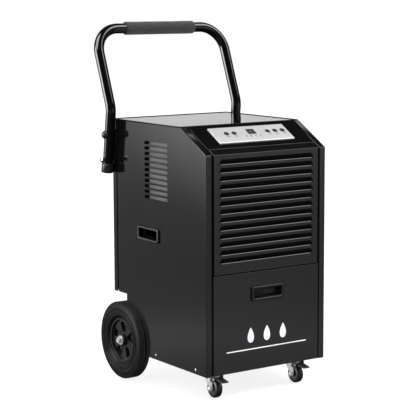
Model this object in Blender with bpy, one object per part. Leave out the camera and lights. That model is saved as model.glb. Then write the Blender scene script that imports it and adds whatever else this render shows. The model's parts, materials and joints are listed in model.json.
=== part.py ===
"""A commercial dehumidifier on two large rear wheels and two braked front casters.

Metres, +Z up, front facing -Y. The origin is the centre of the bounding box's bottom face, on
the floor. Depths are measured back from the plane of the front panels, and depth() turns one
into a world Y. Run it with: blender --background --python part.py
"""

import math

import bmesh
import bpy
from mathutils import Matrix, Vector

# Cabinet: the driving dimensions
WIDTH = 0.380
DEPTH = 0.448
TOP = 0.700
BOTTOM = 0.069
FRONT_TOP = 0.635
SLOPE_DEPTH = 0.115
NOTCH_DEPTH = 0.384
NOTCH_TOP = 0.224
SHEET = 0.002
FLANGE = 0.0205
REAR_FLANGE = 0.018
SEAM = 0.004
GAP = 0.0003
REVEAL = 0.0012
TRAY_HEIGHT = 0.015

# Front panels
DOOR_TOP = 0.327
PANEL_HALF = 0.1685
DOOR_RETURN = 0.012
GRILLE_LIP = 0.024
LOUVRE_COUNT = 13
LOUVRE_PITCH = 0.021
LOUVRE_HEIGHT = 0.0124
LOUVRE_HALF = 0.150
LOUVRE_TOP = 0.617
LOUVRE_CORNER = 0.004
FILTER_HALF = 0.160
FILTER_THICKNESS = 0.010

# Side and rear vents
VENT_COUNT = 11
VENT_PITCH = 0.0143
VENT_HEIGHT = 0.009
VENT_TOP = 0.647
VENT_FRONT = 0.174
VENT_BACK = 0.288
VENT_MESH_MARGIN = 0.006
VENT_MESH_THICKNESS = 0.0008
VENT_MESH_RECESS = 0.010
OUTLET_COUNT = 12
OUTLET_PITCH = 0.020
OUTLET_HEIGHT = 0.009
OUTLET_HALF = 0.130
OUTLET_TOP = 0.610

# Recessed pulls: one in the door, one in each side
PULL_LENGTH = 0.102
PULL_HEIGHT = 0.038
PULL_PROUD = 0.0055
PULL_POCKET_LENGTH = 0.088
PULL_POCKET_HEIGHT = 0.024
PULL_POCKET_DEPTH = 0.020
PULL_WALL = 0.002
DOOR_PULL_Z = 0.270
SIDE_PULL_DEPTH = 0.268
SIDE_PULL_Z = 0.404

# Console on the slope. "Along" runs up the slope from its lower edge, "out" is its normal.
PLATE_HALF = 0.119
PLATE_LOW = 0.0455
PLATE_HIGH = 0.1125
PLATE_THICKNESS = 0.003
BUTTON_X = (-0.077, -0.053, 0.054, 0.078, 0.102)
BUTTON_ALONG = 0.084
BUTTON_RADIUS = 0.0070
BUTTON_PROUD = 0.0012
BUTTON_STEM = 0.006
BUTTON_CLEARANCE = 0.0004
BUTTON_EDGE = 0.0008
WINDOW_X = 0.002
WINDOW_HALF = 0.0125
WINDOW_LOW = 0.076
WINDOW_HIGH = 0.0975
LAMP_STRIP_HALF = 0.027
LAMP_STRIP_LOW = 0.067
LAMP_STRIP_HIGH = 0.0715
BOARD_HALF = 0.110
BOARD_DROP = 0.020

# Handle
TUBE_RADIUS = 0.0140
TUBE_WALL = 0.002
TUBE_X = 0.2080
TUBE_BEND_DEPTH = DEPTH - 0.024
TUBE_BEND_Z = TOP + 0.027
TUBE_FOOT_DEPTH = DEPTH - 0.001
TUBE_FOOT_Z = TOP - 0.144
HANDLE_LEAN = math.radians(21.0)
HANDLE_REACH = 0.228
CORNER_RADIUS = 0.070
KNEE_RADIUS = 0.055
GRIP_RADIUS = 0.0183
GRIP_HALF = 0.114
FERRULE_RADIUS = 0.0170
FERRULE_LENGTH = 0.026
FERRULE_FLOOR = 0.003
PIVOT_Z = TOP - 0.043
LOCK_Z = TOP - 0.112
STUD_RADIUS = 0.004
LOCK_PIN_RADIUS = 0.003
TUBE_CLEARANCE = 0.0005
BRACKET_WIDTH = 0.022
BRACKET_MARGIN = 0.014
BRACKET_FOOT = 0.005

# Rear wheels
WHEEL_RADIUS = 0.105
WHEEL_DEPTH = 0.358
WHEEL_INNER_X = WIDTH / 2 + 0.0038
TYRE_WIDTH = 0.036
TREAD_WIDTH = 0.026
RIM_RADIUS = 0.060
HUB_RADIUS = 0.016
AXLE_RADIUS = 0.006
SPOKE_COUNT = 5
RIM_WEB_HALF = 0.003
RIM_LIP = 0.007
RIM_SEAT_HALF = 0.012

# Front casters
CASTER_X = 0.132
CASTER_AXLE_DEPTH = 0.0475
CASTER_TRAIL = 0.017
CASTER_RADIUS = 0.025
CASTER_TREAD_HALF = 0.010
CASTER_PLATE_HALF = 0.030
CASTER_PLATE_THICKNESS = 0.003
CASTER_CROWN_DROP = 0.0083
CASTER_AXLE_RADIUS = 0.0035
FORK_SHEET = 0.0025
PEDAL_REACH = 0.049
PEDAL_PIN_RADIUS = 0.0025
PEDAL_PIN_AHEAD = 0.032
PEDAL_PIN_Z = 0.0525

# Water tank and what is inside
TANK_HALF = 0.158
TANK_FRONT = 0.0245
TANK_BACK = 0.205
TANK_HEIGHT = 0.226
TANK_WALL = 0.0025
FLOAT_X = 0.110
FLOAT_PIN_RADIUS = 0.0025
FLOAT_DROP = 0.030
SHELF_Z = 0.331
COIL_HALF = 0.150
COIL_LOW = 0.340
COIL_HIGH = 0.600
COIL_THICKNESS = 0.044
COIL_FINS = 10
COIL_SPINE = 0.008
FAN_Z = 0.500
FAN_RADIUS = 0.118
SHROUD_DEPTH = 0.150
SHAFT_RADIUS = 0.004
MOTOR_RADIUS = 0.038
BLADE_COUNT = 5
COMPRESSOR_X = -0.060
COMPRESSOR_DEPTH = 0.285
COMPRESSOR_RADIUS = 0.058
COMPRESSOR_TOP = 0.280
COMPRESSOR_SHOULDER = 0.024

# Mains inlet on the rear panel, drain port on the wheel bay's wall
INLET_X = -0.130
INLET_Z = 0.275
INLET_HALF_WIDTH = 0.0138
INLET_HALF_HEIGHT = 0.0100
DRAIN_X = 0.060
DRAIN_Z = 0.150
DRAIN_RADIUS = 0.008
DRAIN_BORE = 0.005

# The front bezel and the back of the grip are the foremost and rearmost points.
HANDLE_BACK = TUBE_BEND_DEPTH + HANDLE_REACH * math.sin(HANDLE_LEAN) + GRIP_RADIUS
FRONT_Y = -(HANDLE_BACK - PULL_PROUD) / 2

HALF = WIDTH / 2
SLOPE_ANGLE = math.atan2(TOP - FRONT_TOP, SLOPE_DEPTH)
SLOPE_LENGTH = math.hypot(TOP - FRONT_TOP, SLOPE_DEPTH)
LOWER_LEAN = math.atan2(TUBE_FOOT_DEPTH - TUBE_BEND_DEPTH, TUBE_BEND_Z - TUBE_FOOT_Z)
FLOOR_Z = BOTTOM + SHEET + 0.0005 + SHEET
SIDES = (("left", -1), ("right", 1))


# Places

def depth(distance):
    """World Y of a point this far behind the plane of the front panels."""
    return FRONT_Y + distance


def slope_point(along, out):
    """(Y, Z) of a point on the slope."""
    sine, cosine = math.sin(SLOPE_ANGLE), math.cos(SLOPE_ANGLE)
    return (
        depth(along * cosine - out * sine),
        FRONT_TOP + along * sine + out * cosine,
    )


def slope_frame(x, along, out):
    """Matrix whose Z is the slope's normal and whose Y runs up the slope."""
    y, z = slope_point(along, out)
    return Matrix.Translation((x, y, z)) @ Matrix.Rotation(SLOPE_ANGLE, 4, "X")


def lower_tube_depth(z):
    """Depth of the handle tube's centre line at this height, below its knee."""
    return TUBE_BEND_DEPTH + (TUBE_BEND_Z - z) * math.tan(LOWER_LEAN)


# Solids, made in a bmesh

def prism(outline, low, high, axis="X"):
    """An outline pushed out along an axis: (y, z) pairs for X, (x, z) for Y and (x, y) for Z."""
    place = {
        "X": lambda u, v, w: (w, u, v),
        "Y": lambda u, v, w: (u, w, v),
        "Z": lambda u, v, w: (u, v, w),
    }[axis]
    bm = bmesh.new()
    ends = [[bm.verts.new(place(u, v, w)) for u, v in outline] for w in (low, high)]
    for ring in ends:
        bm.faces.new(ring)
    for i in range(len(outline)):
        j = (i + 1) % len(outline)
        bm.faces.new((ends[0][i], ends[0][j], ends[1][j], ends[1][i]))
    return bm


def box(low, high):
    """A box between two corners, given as (x, depth, z)."""
    front, back = depth(low[1]), depth(high[1])
    outline = [(low[0], front), (high[0], front), (high[0], back), (low[0], back)]
    return prism(outline, low[2], high[2], "Z")


def slope_box(half, low, high, under, over, x=0.0):
    """A box that lies on the slope, from low to high along it and from under to over across it."""
    corners = ((low, under), (high, under), (high, over), (low, over))
    return prism([slope_point(*corner) for corner in corners], x - half, x + half)


def turned(profile, steps):
    """A turned solid about Z, from (radius, height) pairs. Its ends are on the axis, or it is a ring."""
    bm = bmesh.new()
    rings = []
    for radius, height in profile:
        if radius < 1e-9:
            rings.append([bm.verts.new((0, 0, height))])
            continue
        angles = [2 * math.pi * i / steps for i in range(steps)]
        rings.append([bm.verts.new((radius * math.cos(a), radius * math.sin(a), height)) for a in angles])
    pairs = list(zip(rings, rings[1:]))
    if len(rings[0]) > 1:
        pairs.append((rings[-1], rings[0]))
    for first, second in pairs:
        for i in range(steps):
            j = (i + 1) % steps
            corners = [first[i % len(first)], first[j % len(first)]]
            corners += [second[j % len(second)], second[i % len(second)]]
            bm.faces.new(list(dict.fromkeys(corners)))
    return bm


def along_axis(bm, axis, centre):
    """Turns a solid made about Z so that its Z lies along an axis, and moves it to (x, depth, z)."""
    turn = {
        "X": Matrix.Rotation(math.radians(90), 4, "Y"),
        "-X": Matrix.Rotation(math.radians(-90), 4, "Y"),
        "Y": Matrix.Rotation(math.radians(-90), 4, "X"),
        "Z": Matrix.Identity(4),
    }[axis]
    bm.transform(Matrix.Translation((centre[0], depth(centre[1]), centre[2])) @ turn)
    return bm


def rod(radius, low, high, axis, centre, steps=16):
    """A plain cylinder along an axis, from low to high about its centre."""
    profile = ((0, low), (radius, low), (radius, high), (0, high))
    return along_axis(turned(profile, steps), axis, centre)


def joined(parts):
    """Several solids that don't touch, as one mesh to cut or add with."""
    whole = bmesh.new()
    for part in parts:
        mesh = bpy.data.meshes.new("joined")
        part.to_mesh(mesh)
        part.free()
        whole.from_mesh(mesh)
        bpy.data.meshes.remove(mesh)
    return whole


def cut_corners(low_u, low_v, high_u, high_v, corner):
    """A rectangle with its corners cut off."""
    return [
        (low_u + corner, low_v), (high_u - corner, low_v), (high_u, low_v + corner),
        (high_u, high_v - corner), (high_u - corner, high_v), (low_u + corner, high_v),
        (low_u, high_v - corner), (low_u, low_v + corner),
    ]


def inset(outline, distance):
    """An outline moved inwards. It runs anticlockwise."""
    moved = []
    for i, corner in enumerate(outline):
        here = Vector(corner)
        before, after = Vector(outline[i - 1]), Vector(outline[(i + 1) % len(outline)])
        first, second = (here - before).normalized(), (after - here).normalized()
        normal = Vector((-first.y, first.x)) + Vector((-second.y, second.x))
        share = distance / (0.5 * normal.length_squared)
        moved.append(tuple(here + normal * share))
    return moved


def rounded_path(corners, radii, steps):
    """Points along straight runs whose corners are arcs."""
    points = [Vector(corners[0])]
    for i in range(1, len(corners) - 1):
        here = Vector(corners[i])
        back = (Vector(corners[i - 1]) - here).normalized()
        on = (Vector(corners[i + 1]) - here).normalized()
        half = back.angle(on) / 2
        middle = here + (back + on).normalized() * (radii[i - 1] / math.sin(half))
        start = here + back * (radii[i - 1] / math.tan(half)) - middle
        end = here + on * (radii[i - 1] / math.tan(half)) - middle
        sweep = start.angle(end)
        for step in range(steps[i - 1] + 1):
            share = step / steps[i - 1]
            weights = (math.sin((1 - share) * sweep), math.sin(share * sweep))
            points.append(middle + (start * weights[0] + end * weights[1]) / math.sin(sweep))
    points.append(Vector(corners[-1]))
    return points


def pipe(path, outer, inner, sides):
    """A hollow tube along a path, open at both ends."""
    bm = bmesh.new()
    runs = [(b - a).normalized() for a, b in zip(path, path[1:])]
    tangents = [runs[0], *[(a + b).normalized() for a, b in zip(runs, runs[1:])], runs[-1]]
    across = tangents[0].orthogonal().normalized()
    shells = ([], [])
    for point, tangent in zip(path, tangents):
        across = (across - tangent * across.dot(tangent)).normalized()
        other = tangent.cross(across)
        for shell, radius in zip(shells, (outer, inner)):
            angles = [2 * math.pi * i / sides for i in range(sides)]
            ring = [point + radius * (across * math.cos(a) + other * math.sin(a)) for a in angles]
            shell.append([bm.verts.new(corner) for corner in ring])
    for shell in shells:
        for first, second in zip(shell, shell[1:]):
            for i in range(sides):
                j = (i + 1) % sides
                bm.faces.new((first[i], first[j], second[j], second[i]))
    for end in (0, -1):
        for i in range(sides):
            j = (i + 1) % sides
            bm.faces.new((shells[0][end][i], shells[0][end][j], shells[1][end][j], shells[1][end][i]))
    return bm


# Objects

def finish(name, colour, roughness, metallic):
    """A Principled material."""
    material = bpy.data.materials.new(name)
    material.use_nodes = True
    shader = material.node_tree.nodes["Principled BSDF"]
    shader.inputs["Base Color"].default_value = (*colour, 1)
    shader.inputs["Roughness"].default_value = roughness
    shader.inputs["Metallic"].default_value = metallic
    return material


def make_finishes():
    return {
        "powder_coat": finish("powder_coat", (0.028, 0.028, 0.030), 0.38, 0.0),
        "gloss_black": finish("gloss_black", (0.010, 0.010, 0.011), 0.10, 0.0),
        "silver_plate": finish("silver_plate", (0.62, 0.62, 0.63), 0.35, 0.6),
        "display": finish("display", (0.05, 0.06, 0.05), 0.15, 0.0),
        "button_rubber": finish("button_rubber", (0.035, 0.035, 0.038), 0.5, 0.0),
        "black_plastic": finish("black_plastic", (0.018, 0.018, 0.019), 0.45, 0.0),
        "tube_gloss": finish("tube_gloss", (0.012, 0.012, 0.013), 0.16, 0.0),
        "foam": finish("foam", (0.045, 0.045, 0.047), 0.85, 0.0),
        "tyre": finish("tyre", (0.020, 0.020, 0.021), 0.7, 0.0),
        "zinc": finish("zinc", (0.55, 0.55, 0.54), 0.35, 1.0),
        "chrome": finish("chrome", (0.75, 0.75, 0.76), 0.12, 1.0),
        "mesh_steel": finish("mesh_steel", (0.45, 0.45, 0.45), 0.4, 1.0),
        "coil_fins": finish("coil_fins", (0.72, 0.72, 0.73), 0.35, 1.0),
        "filter_medium": finish("filter_medium", (0.06, 0.06, 0.065), 0.9, 0.0),
        "tank_plastic": finish("tank_plastic", (0.72, 0.74, 0.75), 0.35, 0.0),
        "compressor_shell": finish("compressor_shell", (0.015, 0.015, 0.016), 0.3, 0.0),
        "circuit_board": finish("circuit_board", (0.02, 0.12, 0.05), 0.5, 0.0),
    }


def body(name, pivot):
    """An empty on a joint's axis, at (x, depth, z). The pieces that move together are its children."""
    empty = bpy.data.objects.new(name, None)
    empty.empty_display_size = 0.03
    empty.location = (pivot[0], depth(pivot[1]), pivot[2])
    bpy.context.scene.collection.objects.link(empty)
    return empty


def piece(name, bm, material, parent=None, smooth=False):
    """One named sub-part. Its mesh is made in world coordinates, then moved under its parent."""
    bmesh.ops.recalc_face_normals(bm, faces=bm.faces)
    mesh = bpy.data.meshes.new(name)
    bm.to_mesh(mesh)
    bm.free()
    mesh.materials.append(FINISHES[material])
    if smooth:
        mesh.shade_smooth()
        mesh.set_sharp_from_angle(angle=math.radians(40))
    obj = bpy.data.objects.new(name, mesh)
    bpy.context.scene.collection.objects.link(obj)
    if parent:
        mesh.transform(Matrix.Translation(-parent.location))
        obj.parent = parent
    return obj


def shaped(obj, bm, operation="DIFFERENCE"):
    """Cuts a solid out of a sub-part, or adds it with UNION."""
    bmesh.ops.recalc_face_normals(bm, faces=bm.faces)
    name = f"{obj.name}_{operation.lower()}_{len(obj.modifiers)}"
    mesh = bpy.data.meshes.new(name)
    bm.to_mesh(mesh)
    bm.free()
    tool = bpy.data.objects.new(name, mesh)
    tool.hide_render = True
    tool.display_type = "WIRE"
    bpy.context.scene.collection.objects.link(tool)
    modifier = obj.modifiers.new(name, "BOOLEAN")
    modifier.operation = operation
    modifier.object = tool
    return obj


# Cabinet

def side_outline():
    """The side panel's outline, (y, z), anticlockwise seen from +X."""
    edge = TOP - SHEET - GAP
    slope_end = SLOPE_DEPTH - (TOP - edge) / math.tan(SLOPE_ANGLE)
    back = DEPTH - REAR_FLANGE - SEAM
    corners = (
        (0, BOTTOM), (NOTCH_DEPTH, BOTTOM), (NOTCH_DEPTH, NOTCH_TOP), (back, NOTCH_TOP),
        (back, edge), (slope_end, edge), (0, FRONT_TOP),
    )
    return [(depth(d), z) for d, z in corners]


def make_side_panels():
    """Folded sheet sides: a skin with a return flange all round, pressed louvres and a pull hole."""
    outline = side_outline()
    for side, sign in SIDES:
        edges = sorted((sign * HALF, sign * (HALF - FLANGE)))
        panel = piece(f"side_panel_{side}", prism(outline, *edges), "powder_coat")
        hollow = sorted((sign * (HALF - SHEET), sign * (HALF - 2 * FLANGE)))
        shaped(panel, prism(inset(outline, SHEET), *hollow))
        through = sorted((sign * (HALF + SHEET), sign * (HALF - 2 * SHEET)))
        slots = []
        for row in range(VENT_COUNT):
            z = VENT_TOP - row * VENT_PITCH
            low, high = z - VENT_HEIGHT / 2, z + VENT_HEIGHT / 2
            slant = VENT_HEIGHT / 2
            corners = (
                (VENT_FRONT, low), (VENT_BACK, low),
                (VENT_BACK - slant, high), (VENT_FRONT + slant, high),
            )
            slots.append(prism([(depth(d), v) for d, v in corners], *through))
        half = PULL_POCKET_LENGTH / 2 + PULL_WALL + GAP
        rise = PULL_POCKET_HEIGHT / 2 + PULL_WALL + GAP
        slots.append(box(
            (through[0], SIDE_PULL_DEPTH - half, SIDE_PULL_Z - rise),
            (through[1], SIDE_PULL_DEPTH + half, SIDE_PULL_Z + rise),
        ))
        slots.append(rod(AXLE_RADIUS + GAP, through[0], through[1], "X", (0, WHEEL_DEPTH, WHEEL_RADIUS)))
        shaped(panel, joined(slots))
        make_vent_mesh(side, sign)


def make_vent_mesh(side, sign):
    """A shallow pan of mesh behind the vent, its rim against the inside of the skin."""
    face = HALF - SHEET - GAP
    floor = face - VENT_MESH_RECESS
    low, high = VENT_TOP - VENT_COUNT * VENT_PITCH, VENT_TOP + VENT_PITCH
    front, back = VENT_FRONT - VENT_MESH_MARGIN, VENT_BACK + VENT_MESH_MARGIN
    outer = sorted((sign * face, sign * (floor - VENT_MESH_THICKNESS)))
    pan = piece(f"vent_mesh_{side}", box((outer[0], front, low), (outer[1], back, high)), "mesh_steel")
    inner = sorted((sign * (face + SHEET), sign * floor))
    rim = VENT_MESH_THICKNESS
    shaped(pan, box((inner[0], front + rim, low + rim), (inner[1], back - rim, high - rim)))


def make_shell():
    """Top, rear, floor and wheel bay."""
    piece("top_panel", box((-HALF, SLOPE_DEPTH, TOP - SHEET), (HALF, DEPTH, TOP)), "gloss_black")
    make_rear_panel()
    tray_low = FLOOR_Z - SHEET
    tray_half = HALF - SHEET - 2 * GAP
    tray_back = NOTCH_DEPTH - 2 * SHEET - GAP
    tray = piece(
        "base_tray",
        box((-tray_half, 0.016, tray_low), (tray_half, tray_back, tray_low + TRAY_HEIGHT)),
        "zinc",
    )
    shaped(
        tray,
        box(
            (-tray_half + SHEET, 0, FLOOR_Z),
            (tray_half - SHEET, tray_back - SHEET, FLOOR_Z + TRAY_HEIGHT),
        ),
    )

    bay_half = HALF - FLANGE - GAP
    wall, roof = NOTCH_DEPTH, NOTCH_TOP
    bay_back = DEPTH - REAR_FLANGE - GAP
    corners = (
        (wall - SHEET, tray_low), (wall, tray_low), (wall, roof), (bay_back, roof),
        (bay_back, roof + SHEET), (wall - SHEET, roof + SHEET),
    )
    bay = piece(
        "axle_bay_panel", prism([(depth(d), z) for d, z in corners], -bay_half, bay_half), "powder_coat"
    )
    shaped(bay, rod(DRAIN_RADIUS + GAP, -SHEET * 2, SHEET, "Y", (DRAIN_X, NOTCH_DEPTH, DRAIN_Z)))


def make_rear_panel():
    """A folded pan with the outlet slots and the hole for the mains inlet."""
    rear_top = TOP - SHEET - GAP
    rear = piece(
        "rear_panel", box((-HALF, DEPTH - REAR_FLANGE, NOTCH_TOP), (HALF, DEPTH, rear_top)), "powder_coat"
    )
    inside = HALF - SHEET
    front = DEPTH - 2 * REAR_FLANGE
    shaped(
        rear,
        box((-inside, front, NOTCH_TOP + SHEET), (inside, DEPTH - SHEET, rear_top - SHEET)),
    )
    slots = []
    for row in range(OUTLET_COUNT):
        z = OUTLET_TOP - row * OUTLET_PITCH
        outline = cut_corners(
            -OUTLET_HALF, z - OUTLET_HEIGHT / 2, OUTLET_HALF, z + OUTLET_HEIGHT / 2, OUTLET_HEIGHT / 3
        )
        slots.append(prism(outline, depth(DEPTH - 2 * SHEET), depth(DEPTH + SHEET), "Y"))
    inlet = (INLET_HALF_WIDTH + GAP, INLET_HALF_HEIGHT + GAP)
    slots.append(box(
        (INLET_X - inlet[0], DEPTH - 2 * SHEET, INLET_Z - inlet[1]),
        (INLET_X + inlet[0], DEPTH + SHEET, INLET_Z + inlet[1]),
    ))
    shaped(rear, joined(slots))


def make_pull(name, material, parent=None, turn=None):
    """A recessed pull: a raised bezel round a pocket. It is made for the door, and may be turned."""
    half, rise = PULL_POCKET_LENGTH / 2, PULL_POCKET_HEIGHT / 2
    pocket_x, pocket_z = half + PULL_WALL, rise + PULL_WALL
    bezel = box(
        (-PULL_LENGTH / 2, -PULL_PROUD, -PULL_HEIGHT / 2), (PULL_LENGTH / 2, -GAP, PULL_HEIGHT / 2)
    )
    cup = box((-pocket_x, -0.001, -pocket_z), (pocket_x, PULL_POCKET_DEPTH + PULL_WALL, pocket_z))
    pocket = box((-half, -0.02, -rise), (half, PULL_POCKET_DEPTH, rise))
    for bm in (bezel, cup, pocket):
        bm.transform(turn)
    pull = piece(name, bezel, material, parent)
    shaped(pull, cup, "UNION")
    shaped(pull, pocket)


def make_side_pulls():
    for side, sign in SIDES:
        centre = Vector((sign * HALF, depth(SIDE_PULL_DEPTH), SIDE_PULL_Z))
        turn = Matrix.Translation(centre) @ Matrix.Rotation(sign * math.radians(90), 4, "Z")
        make_pull(f"side_pull_{side}", "black_plastic", None, turn @ Matrix.Translation((0, -FRONT_Y, 0)))


def make_front():
    """The pull-off intake grille with its filter, and the drawer: door, pull, tank and float."""
    intake = body("intake", (0, 0, (DOOR_TOP + FRONT_TOP) / 2))
    low = DOOR_TOP + REVEAL
    lip = (slope_point(GRILLE_LIP, 0), slope_point(GRILLE_LIP, -SHEET))
    fold = FRONT_TOP - SHEET * math.tan(SLOPE_ANGLE / 2)
    outline = [
        (depth(0), low), (depth(0), FRONT_TOP), lip[0], lip[1],
        (depth(SHEET), fold), (depth(SHEET), low),
    ]
    grille = piece("front_grille", prism(outline, -PANEL_HALF, PANEL_HALF), "powder_coat", intake)
    slots = []
    for row in range(LOUVRE_COUNT):
        z = LOUVRE_TOP - row * LOUVRE_PITCH
        outline = cut_corners(
            -LOUVRE_HALF, z - LOUVRE_HEIGHT / 2, LOUVRE_HALF, z + LOUVRE_HEIGHT / 2, LOUVRE_CORNER
        )
        slots.append(prism(outline, depth(-SHEET), depth(2 * SHEET), "Y"))
    shaped(grille, joined(slots))
    back = SHEET + 0.002
    piece(
        "air_filter",
        box(
            (-FILTER_HALF, back, SHELF_Z + 0.008),
            (FILTER_HALF, back + FILTER_THICKNESS, FRONT_TOP - 0.008),
        ),
        "filter_medium",
        intake,
    )

    drawer = body("drawer", (0, 0, DOOR_PULL_Z))
    door = piece(
        "door_panel",
        box((-PANEL_HALF, 0, BOTTOM + REVEAL), (PANEL_HALF, DOOR_RETURN, DOOR_TOP)),
        "powder_coat",
        drawer,
    )
    shaped(
        door,
        box(
            (-PANEL_HALF + SHEET, SHEET, BOTTOM + REVEAL + SHEET),
            (PANEL_HALF - SHEET, 0.03, DOOR_TOP - SHEET),
        ),
    )
    half = PULL_POCKET_LENGTH / 2 + PULL_WALL + GAP
    rise = PULL_POCKET_HEIGHT / 2 + PULL_WALL + GAP
    shaped(door, box((-half, -0.01, DOOR_PULL_Z - rise), (half, 0.01, DOOR_PULL_Z + rise)))
    make_pull("door_pull", "black_plastic", drawer, Matrix.Translation((0, 0, DOOR_PULL_Z)))
    make_tank(drawer)


def make_tank(drawer):
    """An open tank with two ears that hold the float arm's pin."""
    low = FLOOR_Z + 0.0007
    high = low + TANK_HEIGHT
    tank = piece(
        "water_tank",
        box((-TANK_HALF, TANK_FRONT, low), (TANK_HALF, TANK_BACK, high)),
        "tank_plastic",
        drawer,
    )
    inner = TANK_HALF - TANK_WALL
    shaped(
        tank,
        box(
            (-inner, TANK_FRONT + TANK_WALL, low + TANK_WALL),
            (inner, TANK_BACK - TANK_WALL, high + TANK_WALL),
        ),
    )
    pin = (FLOAT_X, TANK_BACK - 0.012, high - FLOAT_DROP)
    ears = []
    for sign in (-1, 1):
        x = sorted((FLOAT_X + sign * 0.022, FLOAT_X + sign * 0.018))
        ears.append(box(
            (x[0], pin[1] - 0.006, pin[2] - 0.006), (x[1], TANK_BACK - TANK_WALL / 2, pin[2] + 0.006)
        ))
    shaped(tank, joined(ears), "UNION")
    shaped(tank, rod(FLOAT_PIN_RADIUS + GAP, -0.03, 0.03, "X", pin, 12))

    arm = body("float", pin)
    floater = piece(
        "tank_float", rod(FLOAT_PIN_RADIUS, -0.0235, 0.0235, "X", pin, 12), "black_plastic", arm
    )
    lever = box(
        (FLOAT_X - 0.005, pin[1] - 0.060, pin[2] - 0.0018),
        (FLOAT_X + 0.005, pin[1] + 0.002, pin[2] + 0.0018),
    )
    shaped(floater, lever, "UNION")
    bulb = box(
        (FLOAT_X - 0.022, pin[1] - 0.095, pin[2] - 0.014),
        (FLOAT_X + 0.022, pin[1] - 0.055, pin[2] + 0.010),
    )
    shaped(floater, bulb, "UNION")


# Console

def make_console():
    """Slope panel, silver plate, display, lamp strip, five buttons and the board under them."""
    panel = piece(
        "slope_panel",
        slope_box(PANEL_HALF, GRILLE_LIP + REVEAL, SLOPE_LENGTH - REVEAL * 3, -SHEET, 0),
        "gloss_black",
    )
    top = GAP + PLATE_THICKNESS
    plate = piece(
        "control_plate", slope_box(PLATE_HALF, PLATE_LOW, PLATE_HIGH, GAP, top), "silver_plate"
    )
    through = 2 * (SHEET + top)
    radius = BUTTON_RADIUS + BUTTON_CLEARANCE
    holes = []
    for x in BUTTON_X:
        hole = turned(((0, -through), (radius, -through), (radius, through), (0, through)), 16)
        hole.transform(slope_frame(x, BUTTON_ALONG, 0))
        holes.append(hole)
    button_holes = joined(holes)
    shaped(panel, button_holes.copy())
    windows = [
        slope_box(half + GAP, low - GAP, high + GAP, GAP / 2, through, WINDOW_X)
        for half, low, high in (
            (WINDOW_HALF, WINDOW_LOW, WINDOW_HIGH), (LAMP_STRIP_HALF, LAMP_STRIP_LOW, LAMP_STRIP_HIGH)
        )
    ]
    shaped(plate, joined([button_holes, *windows]))
    piece(
        "display_window",
        slope_box(WINDOW_HALF, WINDOW_LOW, WINDOW_HIGH, GAP, top - GAP, WINDOW_X),
        "display",
    )
    piece(
        "lamp_strip",
        slope_box(LAMP_STRIP_HALF, LAMP_STRIP_LOW, LAMP_STRIP_HIGH, GAP, top, WINDOW_X),
        "display",
    )
    for number, x in enumerate(BUTTON_X, 1):
        y, z = slope_point(BUTTON_ALONG, top)
        pivot = body(f"button_{number}_slide", (x, y - FRONT_Y, z))
        crest = top + BUTTON_PROUD
        profile = (
            (0, -BUTTON_STEM), (BUTTON_RADIUS, -BUTTON_STEM), (BUTTON_RADIUS, crest - BUTTON_EDGE),
            (BUTTON_RADIUS - BUTTON_EDGE, crest), (0, crest),
        )
        cap = turned(profile, 16)
        cap.transform(slope_frame(x, BUTTON_ALONG, 0))
        piece(f"button_{number}", cap, "button_rubber", pivot, True)
    piece(
        "control_board",
        slope_box(BOARD_HALF, PLATE_LOW, PLATE_HIGH, -BOARD_DROP - SHEET, -BOARD_DROP),
        "circuit_board",
    )


# Handle

def make_handle():
    """A folding U handle on two studs, with a foam grip, end caps and two sprung lock pins."""
    pivot_depth = lower_tube_depth(PIVOT_Z)
    handle = body("handle", (0, pivot_depth, PIVOT_Z))
    top = (
        depth(TUBE_BEND_DEPTH + HANDLE_REACH * math.sin(HANDLE_LEAN)),
        TUBE_BEND_Z + HANDLE_REACH * math.cos(HANDLE_LEAN),
    )
    knee = (depth(TUBE_BEND_DEPTH), TUBE_BEND_Z)
    foot = (depth(TUBE_FOOT_DEPTH), TUBE_FOOT_Z)
    corners = [(-TUBE_X, *p) for p in (foot, knee, top)] + [(TUBE_X, *p) for p in (top, knee, foot)]
    radii = (KNEE_RADIUS, CORNER_RADIUS, CORNER_RADIUS, KNEE_RADIUS)
    path = rounded_path(corners, radii, (3, 7, 7, 3))
    tube = piece(
        "handle_tube", pipe(path, TUBE_RADIUS, TUBE_RADIUS - TUBE_WALL, 14), "tube_gloss", handle, True
    )
    for z, radius in ((PIVOT_Z, STUD_RADIUS), (LOCK_Z, LOCK_PIN_RADIUS)):
        bores = [
            rod(radius + GAP, low, low + 0.06, "X", (0, lower_tube_depth(z), z), 12)
            for low in (-TUBE_X - 0.03, TUBE_X - 0.03)
        ]
        shaped(tube, joined(bores))

    inner, edge = TUBE_RADIUS + GAP, 0.003
    profile = (
        (inner, -GRIP_HALF), (GRIP_RADIUS - edge, -GRIP_HALF), (GRIP_RADIUS, -GRIP_HALF + edge),
        (GRIP_RADIUS, GRIP_HALF - edge), (GRIP_RADIUS - edge, GRIP_HALF), (inner, GRIP_HALF),
    )
    grip = along_axis(turned(profile, 20), "X", (0, top[0] - FRONT_Y, top[1]))
    piece("handle_grip", grip, "foam", handle, True)

    for side, sign in SIDES:
        lean = Matrix.Translation((sign * TUBE_X, *foot)) @ Matrix.Rotation(LOWER_LEAN, 4, "X")
        base = -FERRULE_FLOOR
        profile = (
            (0, base), (FERRULE_RADIUS - 0.001, base), (FERRULE_RADIUS, base + 0.001),
            (FERRULE_RADIUS, base + FERRULE_LENGTH), (TUBE_RADIUS + GAP, base + FERRULE_LENGTH),
            (TUBE_RADIUS + GAP, -GAP), (0, -GAP),
        )
        cap = turned(profile, 16)
        cap.transform(lean)
        piece(f"ferrule_{side}", cap, "black_plastic", handle, True)
        make_handle_hardware(side, sign, handle)


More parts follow.
